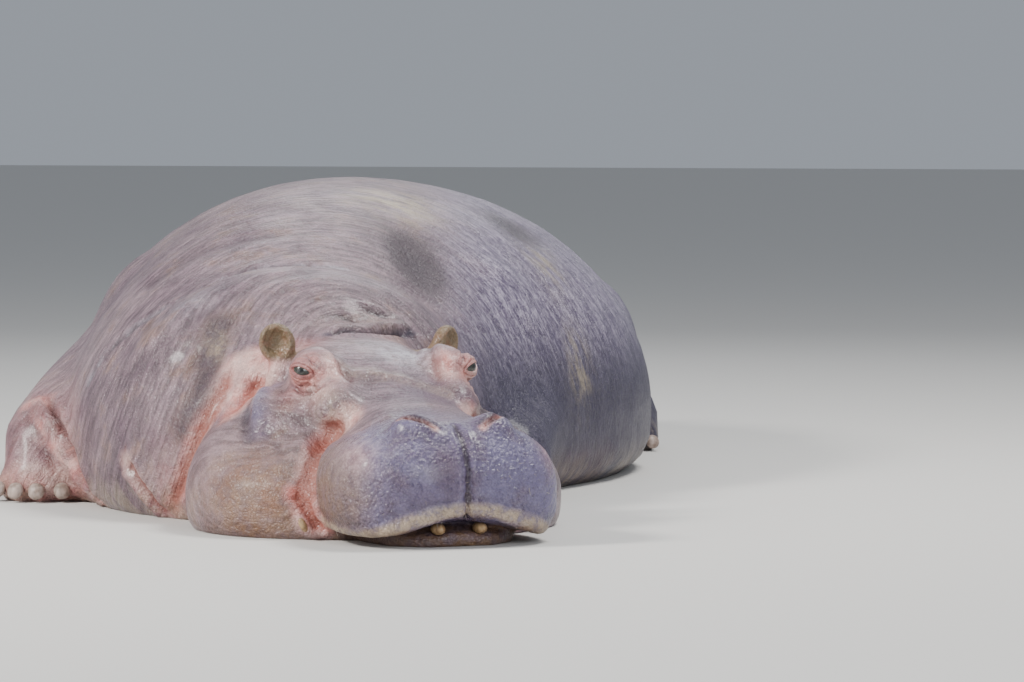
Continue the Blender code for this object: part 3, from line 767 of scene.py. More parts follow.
def spots(*rows):
    """A mask of soft spots: left, ahead, up, the reach in the same directions, and the strength."""
    return most(*[row[6] * near(places, row[:3], row[3:6]) for row in rows])


print("points to colour:", len(points))

# %% [markdown]
# ## Regions of the body
# Flank, neck, muzzle, ears and feet differ in colour and in the way that the hide is lined. Each region
# is a product of a few smooth rises along the body or along the head's directions.

# %% Regions of the body
flank = ease(0.12, 0.34, across_body + 0.25 * along_body) * ease(-0.85, -0.55, along_body)
flank = most(flank, ease(0.2, 0.6, along_body))
neck = ease(0.02, -0.12, ahead_of) * (1 - flank)
muzzle = ease(0.33, 0.42, ahead_of) * ease(0.00, 0.05, up_of)
foreleg = ease(-0.46, -0.52, across_body) * ease(-0.05, -0.20, along_body) * ease(0.30, 0.22, height)
near_floor = ease(0.12, 0.06, height)
forefeet = near_floor * ease(0.42, 0.50, np.abs(across_body)) * (along_body < 0.1) * ease(0.0, -0.1, ahead_of)
hindfeet = near_floor * ease(0.60, 0.68, np.abs(across_body)) * (along_body > 0.1)
ears = most(*[ease(0.085, 0.060, gap_to(places, 0.190 * s, -0.005, 0.392)) for s in BOTH_SIDES])
ears = ears * ease(0.346, 0.364, up_of)


def jaw_front(low, high):
    """The front of the lower jaw, fading out from one height to another."""
    return ease(low, high, up_of) * ease(0.24, 0.32, ahead_of) * ease(0.215, 0.195, side_of)


print("share of the points on the flank:", flank.mean().round(2))

# %% [markdown]
# ## Pink and red skin
# Where the hide is thin and folded, round the eyes, in the cheek's creases, under the ears, in the throat
# and at the wrist, the blood shows through it. Broad pink strokes and spots are laid first, and narrower
# red ones in their middle.

# %% Pink and red
BELOW_EAR = [(-0.198, -0.125, 0.350), (-0.205, -0.092, 0.312)]
BELOW_EAR += [(-0.246, -0.076, 0.266), (-0.278, -0.030, 0.248)]
RIGHT_EAR_FOLD = on_side(RIGHT, EAR_FOLD)
PINK_STROKES = [
    (RIGHT_EAR_FOLD, 0.034, 1.0),
    (EAR_FOLD, 0.026, 0.7),
    (BELOW_EAR, 0.036, 1.0, 0.6),
    (THROAT, 0.022, 0.85),
    (WRIST, 0.018, 0.6),
    (WEB, 0.016, 0.55, 1.4),
    (FLESHY_WEB, 0.024, 1.0, 0.35),
    *two_strokes(CHEEK_CREASE, 0.024, 0.95),
    *two_strokes(MOUTH_CORNER, 0.018, 1.0),
    *two_strokes(NOSTRIL, 0.007, 0.9),
]
PINK_SPOTS = mirrored(
    (0.178, 0.165, 0.332, 0.056, 0.062, 0.050, 1.0),
    (0.165, 0.215, 0.300, 0.045, 0.045, 0.035, 0.7),
    (0.130, 0.195, 0.350, 0.030, 0.060, 0.045, 1.0),
    (0.150, -0.05, 0.388, 0.070, 0.055, 0.030, 0.75),
    (0.225, 0.13, 0.335, 0.02, 0.06, 0.04, 0.9),
    (0.21, 0.56, 0.20, 0.03, 0.10, 0.05, 0.35),
)
PINK_SPOTS += [(-0.350, -0.200, 0.060, 0.05, 0.10, 0.10, 0.5), (-0.30, 0.10, 0.08, 0.08, 0.20, 0.07, 0.45)]
RED_STROKES = [(RIGHT_EAR_FOLD, 0.009), (WRIST, 0.008, 0.6), (FLESHY_WEB, 0.014, 0.30)]
RED_STROKES += two_strokes(MOUTH_CORNER, 0.010)
RED_SPOTS = [
    (0.132, 0.200, 0.347, 0.018, 0.045, 0.03, 0.6),
    (-0.222, 0.150, 0.315, 0.022, 0.030, 0.045, 0.7),
    (0.168, 0.205, 0.335, 0.035, 0.04, 0.05, 0.75),
]
pink = most(0.20 * foreleg, 0.60 * forefeet, 0.55 * hindfeet, strokes(*PINK_STROKES), spots(*PINK_SPOTS))
red = most(strokes(*RED_STROKES), spots(*RED_SPOTS))
print("pink on", int((pink > 0.5).sum()), "points, red on", int((red > 0.5).sum()))

# %% [markdown]
# ## Slate, brown and plum skin
# The muzzle is slate blue in front, browner on its right side, and plum coloured on the bridge of the
# nose and round the nostrils; low on its front, the plum is painted shade. The jowl and the jaw that lie on
# the floor are brown.

# %% Slate, brown and plum
SLATE_LOBE = (on_side(RIGHT, CHEEK_LOBE), 0.020, 0.75)
BROWN_SPOTS = [
    (-0.27, 0.20, 0.06, 0.10, 0.24, 0.13, 1.0),
    (-0.28, 0.15, 0.17, 0.05, 0.12, 0.05, 0.5),
    (-0.32, 0.26, 0.07, 0.12, 0.17, 0.12, 1.25),
]
PLUM_SPOTS = [
    (0.050, 0.295, 0.300, 0.090, 0.115, 0.05, 1.0),
    (0.02, 0.440, 0.264, 0.11, 0.10, 0.03, 0.85),
    (0.19, 0.50, 0.20, 0.04, 0.10, 0.06, 0.4),
    (0.035, 0.560, 0.250, 0.05, 0.06, 0.03, 0.7),
    (-0.042, 0.640, 0.165, 0.040, 0.06, 0.075, 0.85),
    # Painted shade low on the front of the muzzle.
    (-0.100, 0.625, 0.110, 0.085, 0.07, 0.045, 0.45),
]
slate = muzzle * ease(-0.262, -0.175, left_of) * ease(0.36, 0.50, ahead_of)
slate = most(slate, strokes(SLATE_LOBE))
brown = most(muzzle * ease(-0.17, -0.24, left_of) * 0.7, jaw_front(0.050, 0.034), spots(*BROWN_SPOTS))
brown = most(brown, 0.6 * line_mask(STREAK, 0.03))
plum = most(spots(*PLUM_SPOTS), strokes(*two_strokes(NOSTRIL_ROOF, 0.016, 0.8)))
print("slate on", int((slate > 0.5).sum()), "points, plum on", int((plum > 0.5).sum()))

# %% [markdown]
# ## Cream, sheen and muddy skin
# The rim of the upper lip is worn to a cream colour. Painted highlights lie on the forehead, the right side
# of the muzzle, the right cheek's lobe, the neck and the shoulder, and a pale line runs along the neck's
# first fold. Mud has dried on the back, in patches on the left flank and along the floor.

# %% Cream, sheen and mud
LIP_RIM = [(left, ahead, up + 0.006) for left, ahead, up in LIP_EDGE]
CREAM_SPOTS = [
    (-0.12, 0.075, 0.390, 0.035, 0.050, 0.020, 0.6),
    (0.12, 0.075, 0.390, 0.03, 0.04, 0.02, 0.3),
    (0.05, -0.155, 0.425, 0.10, 0.05, 0.03, 0.3),
    (-0.16, 0.27, 0.26, 0.05, 0.05, 0.04, 0.4),
    (-0.26, -0.20, 0.39, 0.02, 0.03, 0.04, 0.9),
]
# Painted highlights: on the forehead, the right side of the muzzle, the right cheek's lobe, the neck and the
# top of the shoulder.
SHEEN_SPOTS = [
    (0.060, 0.110, 0.368, 0.075, 0.075, 0.04, 0.9),
    (-0.205, 0.55, 0.20, 0.045, 0.08, 0.06, 0.6),
    (-0.268, 0.062, 0.27, 0.02, 0.03, 0.04, 0.8),
    (-0.24, -0.36, 0.44, 0.06, 0.06, 0.05, 0.7),
    (0.0, -0.55, 0.58, 0.25, 0.12, 0.10, 0.12),
]
MUD_SPOTS = [
    (0.374, -0.780, 0.670, 0.11, 0.12, 0.07, 1.0),
    (0.751, -0.819, 0.528, 0.05, 0.10, 0.08, 0.9),
    (0.777, -0.633, 0.286, 0.04, 0.08, 0.09, 0.8),
]
cream = most(strokes((LIP_RIM, 0.013, 1.0, 0.7), (BROW_RIDGE, 0.020, 0.3)), spots(*CREAM_SPOTS))
# This mask is painted sheen, with a pale line along the neck's first fold.
pale = most(strokes((NECK_ARC, 0.010, 0.7)), spots(*SHEEN_SPOTS))
mud = most(spots(*MUD_SPOTS), 0.10 * ease(0.52, 0.66, height))
mud = most(mud, 0.40 * ease(0.10, 0.02, height) * ease(-0.05, -0.20, ahead_of))
print("mud on", int((mud > 0.3).sum()), "points")

# %% [markdown]
# ## Painted shade and wet skin
# Painted shade darkens the hide low on the flanks, beside and behind the head, in the hollows behind the
# shoulder and before the hip, on the front of the jaw under the lip, and in the thin lines of the lids, the
# nostrils, the poll's groove, the cheek lobe's edge and the neck's streak. The hide shines where the animal
# has just come out of the water, and less where it is plum coloured, brown or in painted shade.

# %% Painted shade and wet
# Painted shade along the neck's wrinkled streak, the cheek lobe's edge, the poll's groove, the nostrils'
# roofs, the eye bags and the upper lids.
SHADE_STROKES = [(STREAK, 0.024, 0.62), (on_side(RIGHT, LOBE_EDGE), 0.012, 0.6), (POLL_GROOVE, 0.009, 0.9)]
SHADE_STROKES += two_strokes(NOSTRIL_ROOF, 0.0045, 0.75) + two_strokes(EYE_BAG, 0.004, 0.5)
SHADE_STROKES += two_strokes(UPPER_LID, 0.0025, 0.6)
# Painted shade on the flank beside the head, in the shoulder and hip hollows, and on the belly behind the
# head, where the head shades it.
SHADE_SPOTS = [
    (0.46, -0.36, 0.22, 0.15, 0.24, 0.17, 0.95),
    (*SHOULDER_HOLLOW, 0.050, 0.080, 0.075, 0.95),
    (*HIP_HOLLOW, 0.08, 0.07, 0.04, 0.35),
    (0.3, -0.15, 0.2, 0.12, 0.25, 0.2, 0.8),
]
# Painted shade low on the flanks, along the lines and in the spots above, and under the lip on the front of
# the jaw.
dusk = most(ease(0.45, 0.22, height) * flank, strokes(*SHADE_STROKES), spots(*SHADE_SPOTS))
dusk = most(dusk, jaw_front(0.040, 0.026) * ease(0.0, 0.06, np.abs(left_of - 0.02)) * 0.35)
wet = most(0.90 * flank, 0.90 * muzzle, pale, 0.55 * neck, 0.60 * ease(-0.1, 0.05, ahead_of))
wet = most(wet, 0.9 * line_mask(on_side(RIGHT, CHEEK_LOBE), 0.022))
wet = most(wet, spots(*mirrored((0.150, 0.180, 0.350, 0.050, 0.060, 0.040, 0.8))))
wet = wet * (1 - 0.6 * plum) * (1 - 0.7 * np.clip(brown, 0, 1)) * (1 - 0.55 * np.clip(dusk, 0, 1))
print("wettest", wet.max().round(2), "and on average", wet.mean().round(2))

# %% [markdown]
# ## Masks and rings, stored on the skin
# Each mask becomes an attribute of the skin's points, which the material reads by its name. The neck's
# wrinkles run in rings round a place behind the head, so how far each point is from there is stored too,
# as a place that a noise can be stretched along.

# %% Store the masks
lined = (1 - flank) * (1 - 0.9 * muzzle) * (1 - spots((0.060, 0.110, 0.368, 0.080, 0.080, 0.04, 0.8)))
MASKS = {"flank": flank, "lined": lined, "muzzle": muzzle, "pink": pink, "red": red, "slate": slate}
MASKS |= {"brown": brown, "plum": plum, "cream": cream, "pale": pale, "ears": ears, "wet": wet}
MASKS |= {"mud": mud, "dusk": dusk}
for name, values in MASKS.items():
    store(skin.data, name, np.clip(values, 0, 1))
around = points - np.array(in_head(0.02, -0.05, 0))
ring_size = np.linalg.norm(around[:, :2], axis=1) + 0.35 * height
store(skin.data, "ring", np.stack([ring_size, around[:, 0], around[:, 1] + height], axis=1), "FLOAT_VECTOR")
print("masks:", ", ".join(MASKS))

# %% [markdown]
# ## A small helper for materials
# Material nodes are many and alike, so one function adds a node, sets its plain values and links the
# rest. The same function also adds the nodes of a Geometry Nodes tree, because both kinds of tree work
# alike.

# %% Node helper
def give(tree, node, values):
    """Sets sockets of a node by name or number, each to a plain value or to another node's output."""
    for key, value in values.items():
        if isinstance(value, bpy.types.NodeSocket):
            tree.links.new(value, node.inputs[key])
        else:
            node.inputs[key].default_value = value


def put(tree, kind, values=None, **settings):
    """Adds a node with its settings and its values, and returns its outputs. Plain kinds are shader nodes."""
    made = tree.nodes.new(kind if "Node" in kind else "ShaderNode" + kind)
    for key, value in settings.items():
        setattr(made, key, value)
    give(tree, made, values or {})
    return made.outputs


def times(tree, a, b, operation="MULTIPLY"):
    """A Math node on two values."""
    return put(tree, "Math", {0: a, 1: b}, operation=operation)[0]


def total(tree, first, *others):
    """The sum of several values."""
    for other in others:
        first = times(tree, first, other, "ADD")
    return first


def rgb(red, green, blue):
    """A colour with its alpha."""
    return (red, green, blue, 1.0)


def new_material(name):
    """A material with nodes, its tree and its shader."""
    made = bpy.data.materials.new(name)
    made.use_nodes = True
    return made, made.node_tree, made.node_tree.nodes["Principled BSDF"]


print("node helper ready")

# %% [markdown]
# ## Ramps, layers and patterns
# The hide needs the same few steps again and again: a smooth ramp of a value, one colour over another, a
# colour made darker, a noise or a pattern of cells at a place, and a mask read back from the skin.

# %% Ramps, layers and patterns
def steps(tree, value, low, high, to_low=0.0, to_high=1.0):
    """A smooth ramp of a value between two limits."""
    limits = {"Value": value, "From Min": low, "From Max": high, "To Min": to_low, "To Max": to_high}
    return put(tree, "MapRange", limits, interpolation_type="SMOOTHSTEP")["Result"]


def layer(tree, factor, below, above, blend="MIX"):
    """One colour over another by a factor."""
    return put(tree, "Mix", {0: factor, 6: below, 7: above}, data_type="RGBA", blend_type=blend)[2]


def shade(tree, colour, amount):
    """A colour made darker or lighter by a value."""
    grey = put(tree, "CombineColor", {0: amount, 1: amount, 2: amount})[0]
    return layer(tree, 1.0, colour, grey, "MULTIPLY")


def noise(tree, where, scale, detail=4.0, roughness=0.55):
    """The value of a Noise Texture at a place."""
    values = {"Vector": where, "Scale": scale, "Detail": detail, "Roughness": roughness}
    return put(tree, "TexNoise", values)["Fac"]


def cells(tree, where, scale, feature="DISTANCE_TO_EDGE"):
    """The distances of a Voronoi Texture at a place."""
    return put(tree, "TexVoronoi", {"Vector": where, "Scale": scale}, feature=feature)["Distance"]


def stretched(tree, where, scale):
    """A place stretched for a pattern that runs one way."""
    return put(tree, "Mapping", {"Vector": where, "Scale": scale})["Vector"]


def mask(tree, name, kind="Fac"):
    """A mask stored on the piece."""
    return put(tree, "Attribute", attribute_name=name)[kind]


print("ramps, layers and patterns ready")

# %% [markdown]
# ## The hide
# The hide of a hippopotamus is bare, thick and finely creased. Four patterns make its relief: a mesh of
# cracked cells all over, short broken hoops round the barrel of the trunk, rings round the neck, and
# pebbles on the muzzle. A hoop is a noise that is stretched along the trunk's round and squeezed along
# its length.

# %% Patterns of the hide
hide, tree, shader = new_material("hide")
where = put(tree, "TexCoord")["Object"]
broad = noise(tree, where, 2.6, 3.0)
patchy = noise(tree, where, 11.0, 6.0, 0.62)
mottled = noise(tree, where, 42.0, 4.0, 0.6)
grainy = noise(tree, where, 130.0, 3.0, 0.65)
small_cells = cells(tree, where, 150.0)
wide_cells = cells(tree, where, 60.0)
pebbles = cells(tree, where, 105.0, "F1")
hoops = noise(tree, stretched(tree, where, (48.0, 165.0, 48.0)), 1.0, 3.0, 0.6)
long_hoops = noise(tree, stretched(tree, where, (9.0, 60.0, 9.0)), 1.0, 2.0, 0.55)
rings = noise(tree, stretched(tree, mask(tree, "ring", "Vector"), (110.0, 11.0, 11.0)), 1.0, 3.0, 0.6)
bands = noise(tree, stretched(tree, where, (9.0, 26.0, 9.0)), 1.0, 6.0, 0.7)
print("patterns:", len(tree.nodes), "nodes")

# %% [markdown]
# ## Colours of the hide
# The colours are layered from the most common to the rarest, as a painter of models would: the hide's own
# grey and brown, the violet flank, the slate muzzle, then brown, plum, painted sheen and pink, painted
# shade, and mud at the very end.

# %% Paints
HIDE_LIGHT = rgb(0.318, 0.240, 0.262)
HIDE_DARK = rgb(0.142, 0.098, 0.122)
HIDE_BROWN = rgb(0.265, 0.162, 0.118)
FLANK_DARK = rgb(0.125, 0.100, 0.165)
FLANK_SHEEN = rgb(0.560, 0.500, 0.620)
PAINTED_SHADE = rgb(0.032, 0.028, 0.052)
SLATE = rgb(0.195, 0.173, 0.272)
SLATE_PURPLE = rgb(0.120, 0.078, 0.105)
SLATE_DARK = rgb(0.080, 0.062, 0.112)
PINK = rgb(0.700, 0.335, 0.300)
PALE_PINK = rgb(0.860, 0.610, 0.570)
RED = rgb(0.540, 0.190, 0.170)
CREASE_SHADE = rgb(0.050, 0.036, 0.042)
CREASE_PINK_SHADE = rgb(0.330, 0.135, 0.110)
BROWN = rgb(0.190, 0.120, 0.075)
PLUM = rgb(0.115, 0.075, 0.108)
CREAM = rgb(0.480, 0.385, 0.300)
PALE_SHEEN = rgb(0.530, 0.500, 0.560)
OLIVE = rgb(0.235, 0.175, 0.115)
MUD = rgb(0.520, 0.440, 0.320)


def painted(colour, name, amount, paint):
    """A colour with a paint over it where a mask is, as much as an amount says."""
    return layer(tree, times(tree, mask(tree, name), amount), colour, paint)


print("paints for the masks:", len(MASKS))

# %% [markdown]
# ## Ground colours of the hide
# Under all markings the hide is greyish brown, in broad soft patches. Its rings and hoops are painted paler
# than the furrows between them, as a painted sheen on the ridges and painted shade in the furrows. The
# muzzle's pebbles are darker than their gaps. The same value that gives a pattern its relief later gives it
# its colour here, so that the two fit.

# %% Ground colours of the hide
colour = layer(tree, steps(tree, times(tree, broad, patchy, "ADD"), 0.62, 1.30), HIDE_DARK, HIDE_LIGHT)
colour = layer(tree, steps(tree, patchy, 0.52, 0.70, 0.0, 0.55), colour, HIDE_BROWN)
# Painted shade in the furrows between the neck's rings, and a painted sheen on the rings.
colour = shade(tree, colour, steps(tree, rings, 0.36, 0.66, 0.62, 1.22))
# The flank's light streaks along the hoops are a painted sheen, and the furrows between them a darker violet.
flank_sheen_streaks = total(tree, hoops, times(tree, long_hoops, 0.5))
flank_tone_and_sheen = layer(tree, steps(tree, flank_sheen_streaks, 0.60, 0.98), FLANK_DARK, FLANK_SHEEN)
colour = painted(colour, "flank", 0.85, flank_tone_and_sheen)
slate_tone = layer(tree, steps(tree, pebbles, 0.02, 0.34, 0.30, 1.0), SLATE_DARK, SLATE)
slate_tone = layer(tree, steps(tree, patchy, 0.42, 0.64, 0.0, 0.62), slate_tone, SLATE_PURPLE)
# Flecks of painted highlight over the slate muzzle.
slate_tone = layer(tree, steps(tree, mottled, 0.52, 0.74, 0.0, 0.10), slate_tone, PALE_SHEEN)
colour = layer(tree, mask(tree, "slate"), colour, slate_tone)
print("nodes up to the ground colours:", len(tree.nodes))

# %% [markdown]
# ## Markings of the hide
# Each marking is a paint laid over the ground colours by its mask. A noise breaks the mask up, so that a
# marking is dense in its middle and falls apart into flecks at its edge.

# %% Markings of the hide
pink_break = total(tree, patchy, times(tree, mottled, 0.5))
pink_tone = layer(tree, steps(tree, patchy, 0.38, 0.62), PINK, PALE_PINK)
olive_tone = layer(tree, steps(tree, mottled, 0.4, 0.7), OLIVE, HIDE_BROWN)
colour = painted(colour, "brown", steps(tree, mottled, 0.30, 0.62, 0.45, 0.95), BROWN)
colour = painted(colour, "plum", steps(tree, mottled, 0.30, 0.60, 0.80, 1.0), PLUM)
# Painted highlights, laid on by the mask of sheen.
colour = painted(colour, "pale", steps(tree, mottled, 0.36, 0.62, 0.15, 0.85), PALE_SHEEN)
colour = painted(colour, "pink", steps(tree, pink_break, 0.48, 0.82, 0.50, 1.0), pink_tone)
colour = painted(colour, "red", 0.55, RED)
# Painted shade, laid on where the hide is in shade.
colour = painted(colour, "dusk", 0.88, PAINTED_SHADE)
colour = painted(colour, "cream", steps(tree, mottled, 0.34, 0.56, 0.25, 0.95), CREAM)
colour = layer(tree, mask(tree, "ears"), colour, olive_tone)
colour = painted(colour, "mud", steps(tree, bands, 0.40, 0.60, 0.0, 0.9), MUD)
print("nodes up to the markings:", len(tree.nodes))

# %% [markdown]
# ## Fine shades and creases
# Close up, the cracks between the cells are painted darker, and so is the bottom of every groove: both
# are painted shade. A last node makes all colours a little deeper and darker, as water does.

# %% Fine shades and creases of the hide
SATURATION = 1.22
DEPTH_OF_TONE = 0.86
# Painted shade in the cracks between the cells.
colour = shade(tree, colour, steps(tree, small_cells, 0.0, 0.12, 0.80, 1.0))
colour = shade(tree, colour, steps(tree, grainy, 0.30, 0.72, 0.92, 1.06))
colour = shade(tree, colour, steps(tree, mottled, 0.30, 0.70, 0.88, 1.06))
# Painted shade at the bottom of every groove, a darker pink where the skin is pink.
crease_shade = layer(tree, mask(tree, "pink"), CREASE_SHADE, CREASE_PINK_SHADE)
deep = steps(tree, mask(tree, "hollow"), 0.0, 1.0)
colour = layer(tree, times(tree, deep, 0.80), colour, crease_shade)
tuning = {"Saturation": SATURATION, "Value": DEPTH_OF_TONE, "Color": colour}
give(tree, shader, {"Base Color": put(tree, "HueSaturation", tuning)["Color"]})
print("nodes with the creases:", len(tree.nodes))

# %% [markdown]
# ## Shine and relief of the hide
# Wet hide is smoother and carries a thin film of water, which is the coat of the Principled shader. The
# cells, hoops, rings and pebbles are too fine for the mesh, so they are added up as the height of one
# Bump node.

# %% Shine and relief of the hide
FILM_OF_WATER = 0.34
DRY_ROUGHNESS, WET_ROUGHNESS = 0.42, 0.25
RELIEF_HEIGHT = 0.0026
wet_amount = times(tree, mask(tree, "wet"), steps(tree, patchy, 0.34, 0.60, 0.30, 1.0))
rough = steps(tree, wet_amount, 0.0, 1.0, DRY_ROUGHNESS, WET_ROUGHNESS)
hoop_relief = total(tree, times(tree, hoops, 4.0), times(tree, long_hoops, 1.2))
relief = total(
    tree,
    times(tree, steps(tree, small_cells, 0.0, 0.20), 0.28),
    times(tree, steps(tree, wide_cells, 0.0, 0.30), 0.50),
    times(tree, grainy, 0.05),
    times(tree, mottled, 1.2),
    times(tree, patchy, 2.2),
    times(tree, hoop_relief, mask(tree, "flank")),
    times(tree, rings, times(tree, mask(tree, "lined"), 2.8)),
    times(tree, steps(tree, pebbles, 0.1, 0.7), times(tree, mask(tree, "muzzle"), -0.9)),
)
hide_sockets = {
    "Roughness": total(tree, rough, steps(tree, grainy, 0.3, 0.7, -0.04, 0.05)),
    "Coat Weight": times(tree, wet_amount, FILM_OF_WATER),
    "Coat Roughness": 0.20,
    "Specular IOR Level": 0.45,
    "Normal": put(tree, "Bump", {"Height": relief, "Strength": 0.9, "Distance": RELIEF_HEIGHT})["Normal"],
}
give(tree, shader, hide_sockets)
skin.data.materials.clear()
skin.data.materials.append(hide)
print("nodes with the relief:", len(tree.nodes))

# %% [markdown]
# ## Eyes
# Each eye is a ball with a clear bulge in front, the cornea. It is made as a sphere of rings around the
# direction of its gaze, so that the iris and the pupil can be painted by the angle from that direction.

# %% Eyeballs
EYE_RINGS = 40
EYE_SPOKES = 48
CORNEA_ANGLE = 0.60                  # radians from the gaze to the rim of the cornea
CORNEA_RISE = 0.0016
BALL_RADIUS = EYE_RADIUS * 0.985     # a little smaller, clear of the lids
PUPIL_HALF_WIDTH, PUPIL_HALF_HEIGHT = 0.30, 0.20


def eye_point(axes, ring, spoke):
    """A place on an eyeball, its angle from the gaze, and its distance from the pupil's middle in pupils."""
    middle, looks, forward, lift = axes
    angle = math.pi * ring / EYE_RINGS
    turn = 2 * math.pi * spoke / EYE_SPOKES
    radius = BALL_RADIUS + CORNEA_RISE * float(ease(CORNEA_ANGLE, CORNEA_ANGLE * 0.3, angle))
    side, rise = math.cos(turn), math.sin(turn)
    unit = looks * math.cos(angle) + (forward * side + lift * rise) * math.sin(angle)
    from_pupil = math.hypot(side * angle / PUPIL_HALF_WIDTH, rise * angle / PUPIL_HALF_HEIGHT)
    return middle + unit * radius, angle, from_pupil


def eye_face(ring, spoke):
    """The four corners of one face of an eyeball."""
    first, second = ring * EYE_SPOKES + spoke, ring * EYE_SPOKES + (spoke + 1) % EYE_SPOKES
    return first, second, second + EYE_SPOKES, first + EYE_SPOKES


def make_eye(s):
    """One eyeball, with the angle from its gaze and the place across the pupil stored on its points."""
    axes = tuple(eye_axes(s))
    grid = [(ring, spoke) for ring in range(EYE_RINGS + 1) for spoke in range(EYE_SPOKES)]
    spots, from_gaze, from_pupil = zip(*[eye_point(axes, ring, spoke) for ring, spoke in grid])
    faces = [eye_face(ring, spoke) for ring, spoke in grid if ring < EYE_RINGS]
    side = "left" if s == LEFT else "right"
    mesh = bpy.data.meshes.new(f"eyeball_{side}")
    mesh.from_pydata([tuple(v) for v in spots], [], faces)
    store(mesh, "from_gaze", from_gaze)
    store(mesh, "from_pupil", from_pupil)
    bm = bmesh.new()
    bm.from_mesh(mesh)
    bmesh.ops.remove_doubles(bm, verts=bm.verts, dist=0.00001)
    bmesh.ops.recalc_face_normals(bm, faces=bm.faces)
    bm.to_mesh(mesh)
    bm.free()
    shade_smooth(mesh)
    made = in_scene(f"eyeball_{side}", mesh)
    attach(made, "root")
    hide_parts(f"eye_{side}")
    return made


eyeballs = [make_eye(s) for s in BOTH_SIDES]
print("eyeballs", round(EYE_RADIUS * 2000), "mm across")

# %% [markdown]
# ## Teeth and toenails
# These are hard and plain, so copies of the CAD nodes are merged and rounded with Subdivision Surface.
# Rounding draws a faceted shape in, so the nails are swollen by a millimetre first. The lip covers the
# upper part of each tusk, and only its tip shows.

# %% Round the hard pieces
FEET = [f"{pair}_{side}" for pair in ("fore", "hind") for side in SIDES]
NAILS = [f"nail_{foot}_{number}" for foot in FEET for number in (1, 2, 3, 4)]
TUSKS = ["tusk_left", "tusk_right"]
TEETH = TUSKS + ["front_tooth_left", "front_tooth_right"]
NAIL_SWELL = 0.0012
TUSK_SHOWN = 0.55                    # the part of the tusk's height that the lip leaves bare


def rounded(name, nodes, swell):
    """A smooth piece made of copies of faceted CAD nodes, swollen a little to make up for the rounding."""
    made = copy_of(name, nodes)
    set_places(made.data, places_of(made.data) + normals_of(made.data) * swell)
    subdivision = made.modifiers.new("round", "SUBSURF")
    subdivision.levels = subdivision.render_levels = 2
    settled(made)
    shade_smooth(made.data)
    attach(made, "root")
    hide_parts(*nodes)
    print(name, len(made.data.polygons), "faces")
    return made


nails = rounded("toenails", NAILS, NAIL_SWELL)
teeth = rounded("teeth", TEETH, 0.0)
tooth_points = places_of(teeth.data)
for node in TUSKS:
    low, high = (np.array(corner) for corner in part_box(node))
    inside = np.all((tooth_points > low - 0.002) & (tooth_points < high + 0.002), axis=1)
    tooth_points[inside, 2] = low[2] + (tooth_points[inside, 2] - low[2]) * TUSK_SHOWN
set_places(teeth.data, tooth_points)

# %% [markdown]
# ## Eyes get their colours
# The iris and the pupil are painted by the angle from the gaze, so they stay round and true from every
# side. The pupil of a hippopotamus is a slit that lies level. A film of tears makes the eye the wettest
# place of all.

# %% Eye material
IRIS_EDGE = 0.70                     # angle from the gaze, in radians
eye_material, tree, shader = new_material("wet_eye")
where = put(tree, "TexCoord")["Object"]
veins = steps(tree, noise(tree, where, 260.0, 4.0, 0.7), 0.45, 0.65)
iris = layer(tree, veins, rgb(0.030, 0.034, 0.028), rgb(0.066, 0.062, 0.048))
white = layer(tree, veins, rgb(0.230, 0.105, 0.085), rgb(0.120, 0.060, 0.055))
colour = layer(tree, steps(tree, mask(tree, "from_gaze"), IRIS_EDGE, IRIS_EDGE + 0.08), iris, white)
colour = layer(tree, steps(tree, mask(tree, "from_pupil"), 1.0, 0.8), colour, rgb(0.012, 0.013, 0.013))
tears = {"Coat Weight": 0.5, "Coat Roughness": 0.04, "Coat IOR": 1.38}
give(tree, shader, {"Base Color": colour, "Roughness": 0.22} | tears)
for eyeball in eyeballs:
    eyeball.data.materials.append(eye_material)
print("eye nodes:", len(tree.nodes))

# %% [markdown]
# ## Stains and lines of horn and ivory
# Nails and teeth are both stained in spots and finely lined along their growth, so one node group serves
# both. It takes a scale and two colours, and gives the colour, the stain and the height.

# %% Stains and lines, shared by nails and teeth
STAIN_SOCKETS = {"Scale": "Float", "Light": "Color", "Dark": "Color"}
STAIN_RESULTS = {"Color": "Color", "Stain": "Float", "Height": "Float"}
stains = bpy.data.node_groups.new("stains_and_lines", "ShaderNodeTree")
for way, sockets in (("INPUT", STAIN_SOCKETS), ("OUTPUT", STAIN_RESULTS)):
    for name, kind in sockets.items():
        stains.interface.new_socket(name, in_out=way, socket_type="NodeSocket" + kind)
given = put(stains, "NodeGroupInput")
where = put(stains, "TexCoord")["Object"]
spotty = noise(stains, where, given["Scale"], 5.0, 0.65)
lines = noise(stains, stretched(stains, where, (160.0, 160.0, 30.0)), 1.0, 2.0)
colour = layer(stains, steps(stains, spotty, 0.40, 0.66), given["Light"], given["Dark"])
colour = shade(stains, colour, steps(stains, lines, 0.3, 0.7, 0.82, 1.1))
put(stains, "NodeGroupOutput", {"Color": colour, "Stain": spotty, "Height": total(stains, lines, spotty)})
print("stains:", len(stains.nodes), "nodes")

# %% [markdown]
# ## Nails and teeth get their colours
# The nails are dull brown horn, and the teeth are ivory with yellow and brown tartar. They differ only in
# their two colours, the size of the stains, the roughness and the relief, so one function makes both
# materials.

# %% Materials of nails and teeth
def stained(name, light, dark, scale, roughness, relief_height):
    """A hard material with stains, fine lines and a little relief."""
    made, tree, shader = new_material(name)
    group = put(tree, "Group", {"Scale": scale, "Light": light, "Dark": dark}, node_tree=stains)
    rough = steps(tree, group["Stain"], 0.3, 0.7, roughness - 0.08, roughness + 0.12)
    relief = {"Height": group["Height"], "Strength": 0.6, "Distance": relief_height}
    normal = put(tree, "Bump", relief)["Normal"]
    give(tree, shader, {"Base Color": group["Color"], "Roughness": rough, "Normal": normal})
    return made


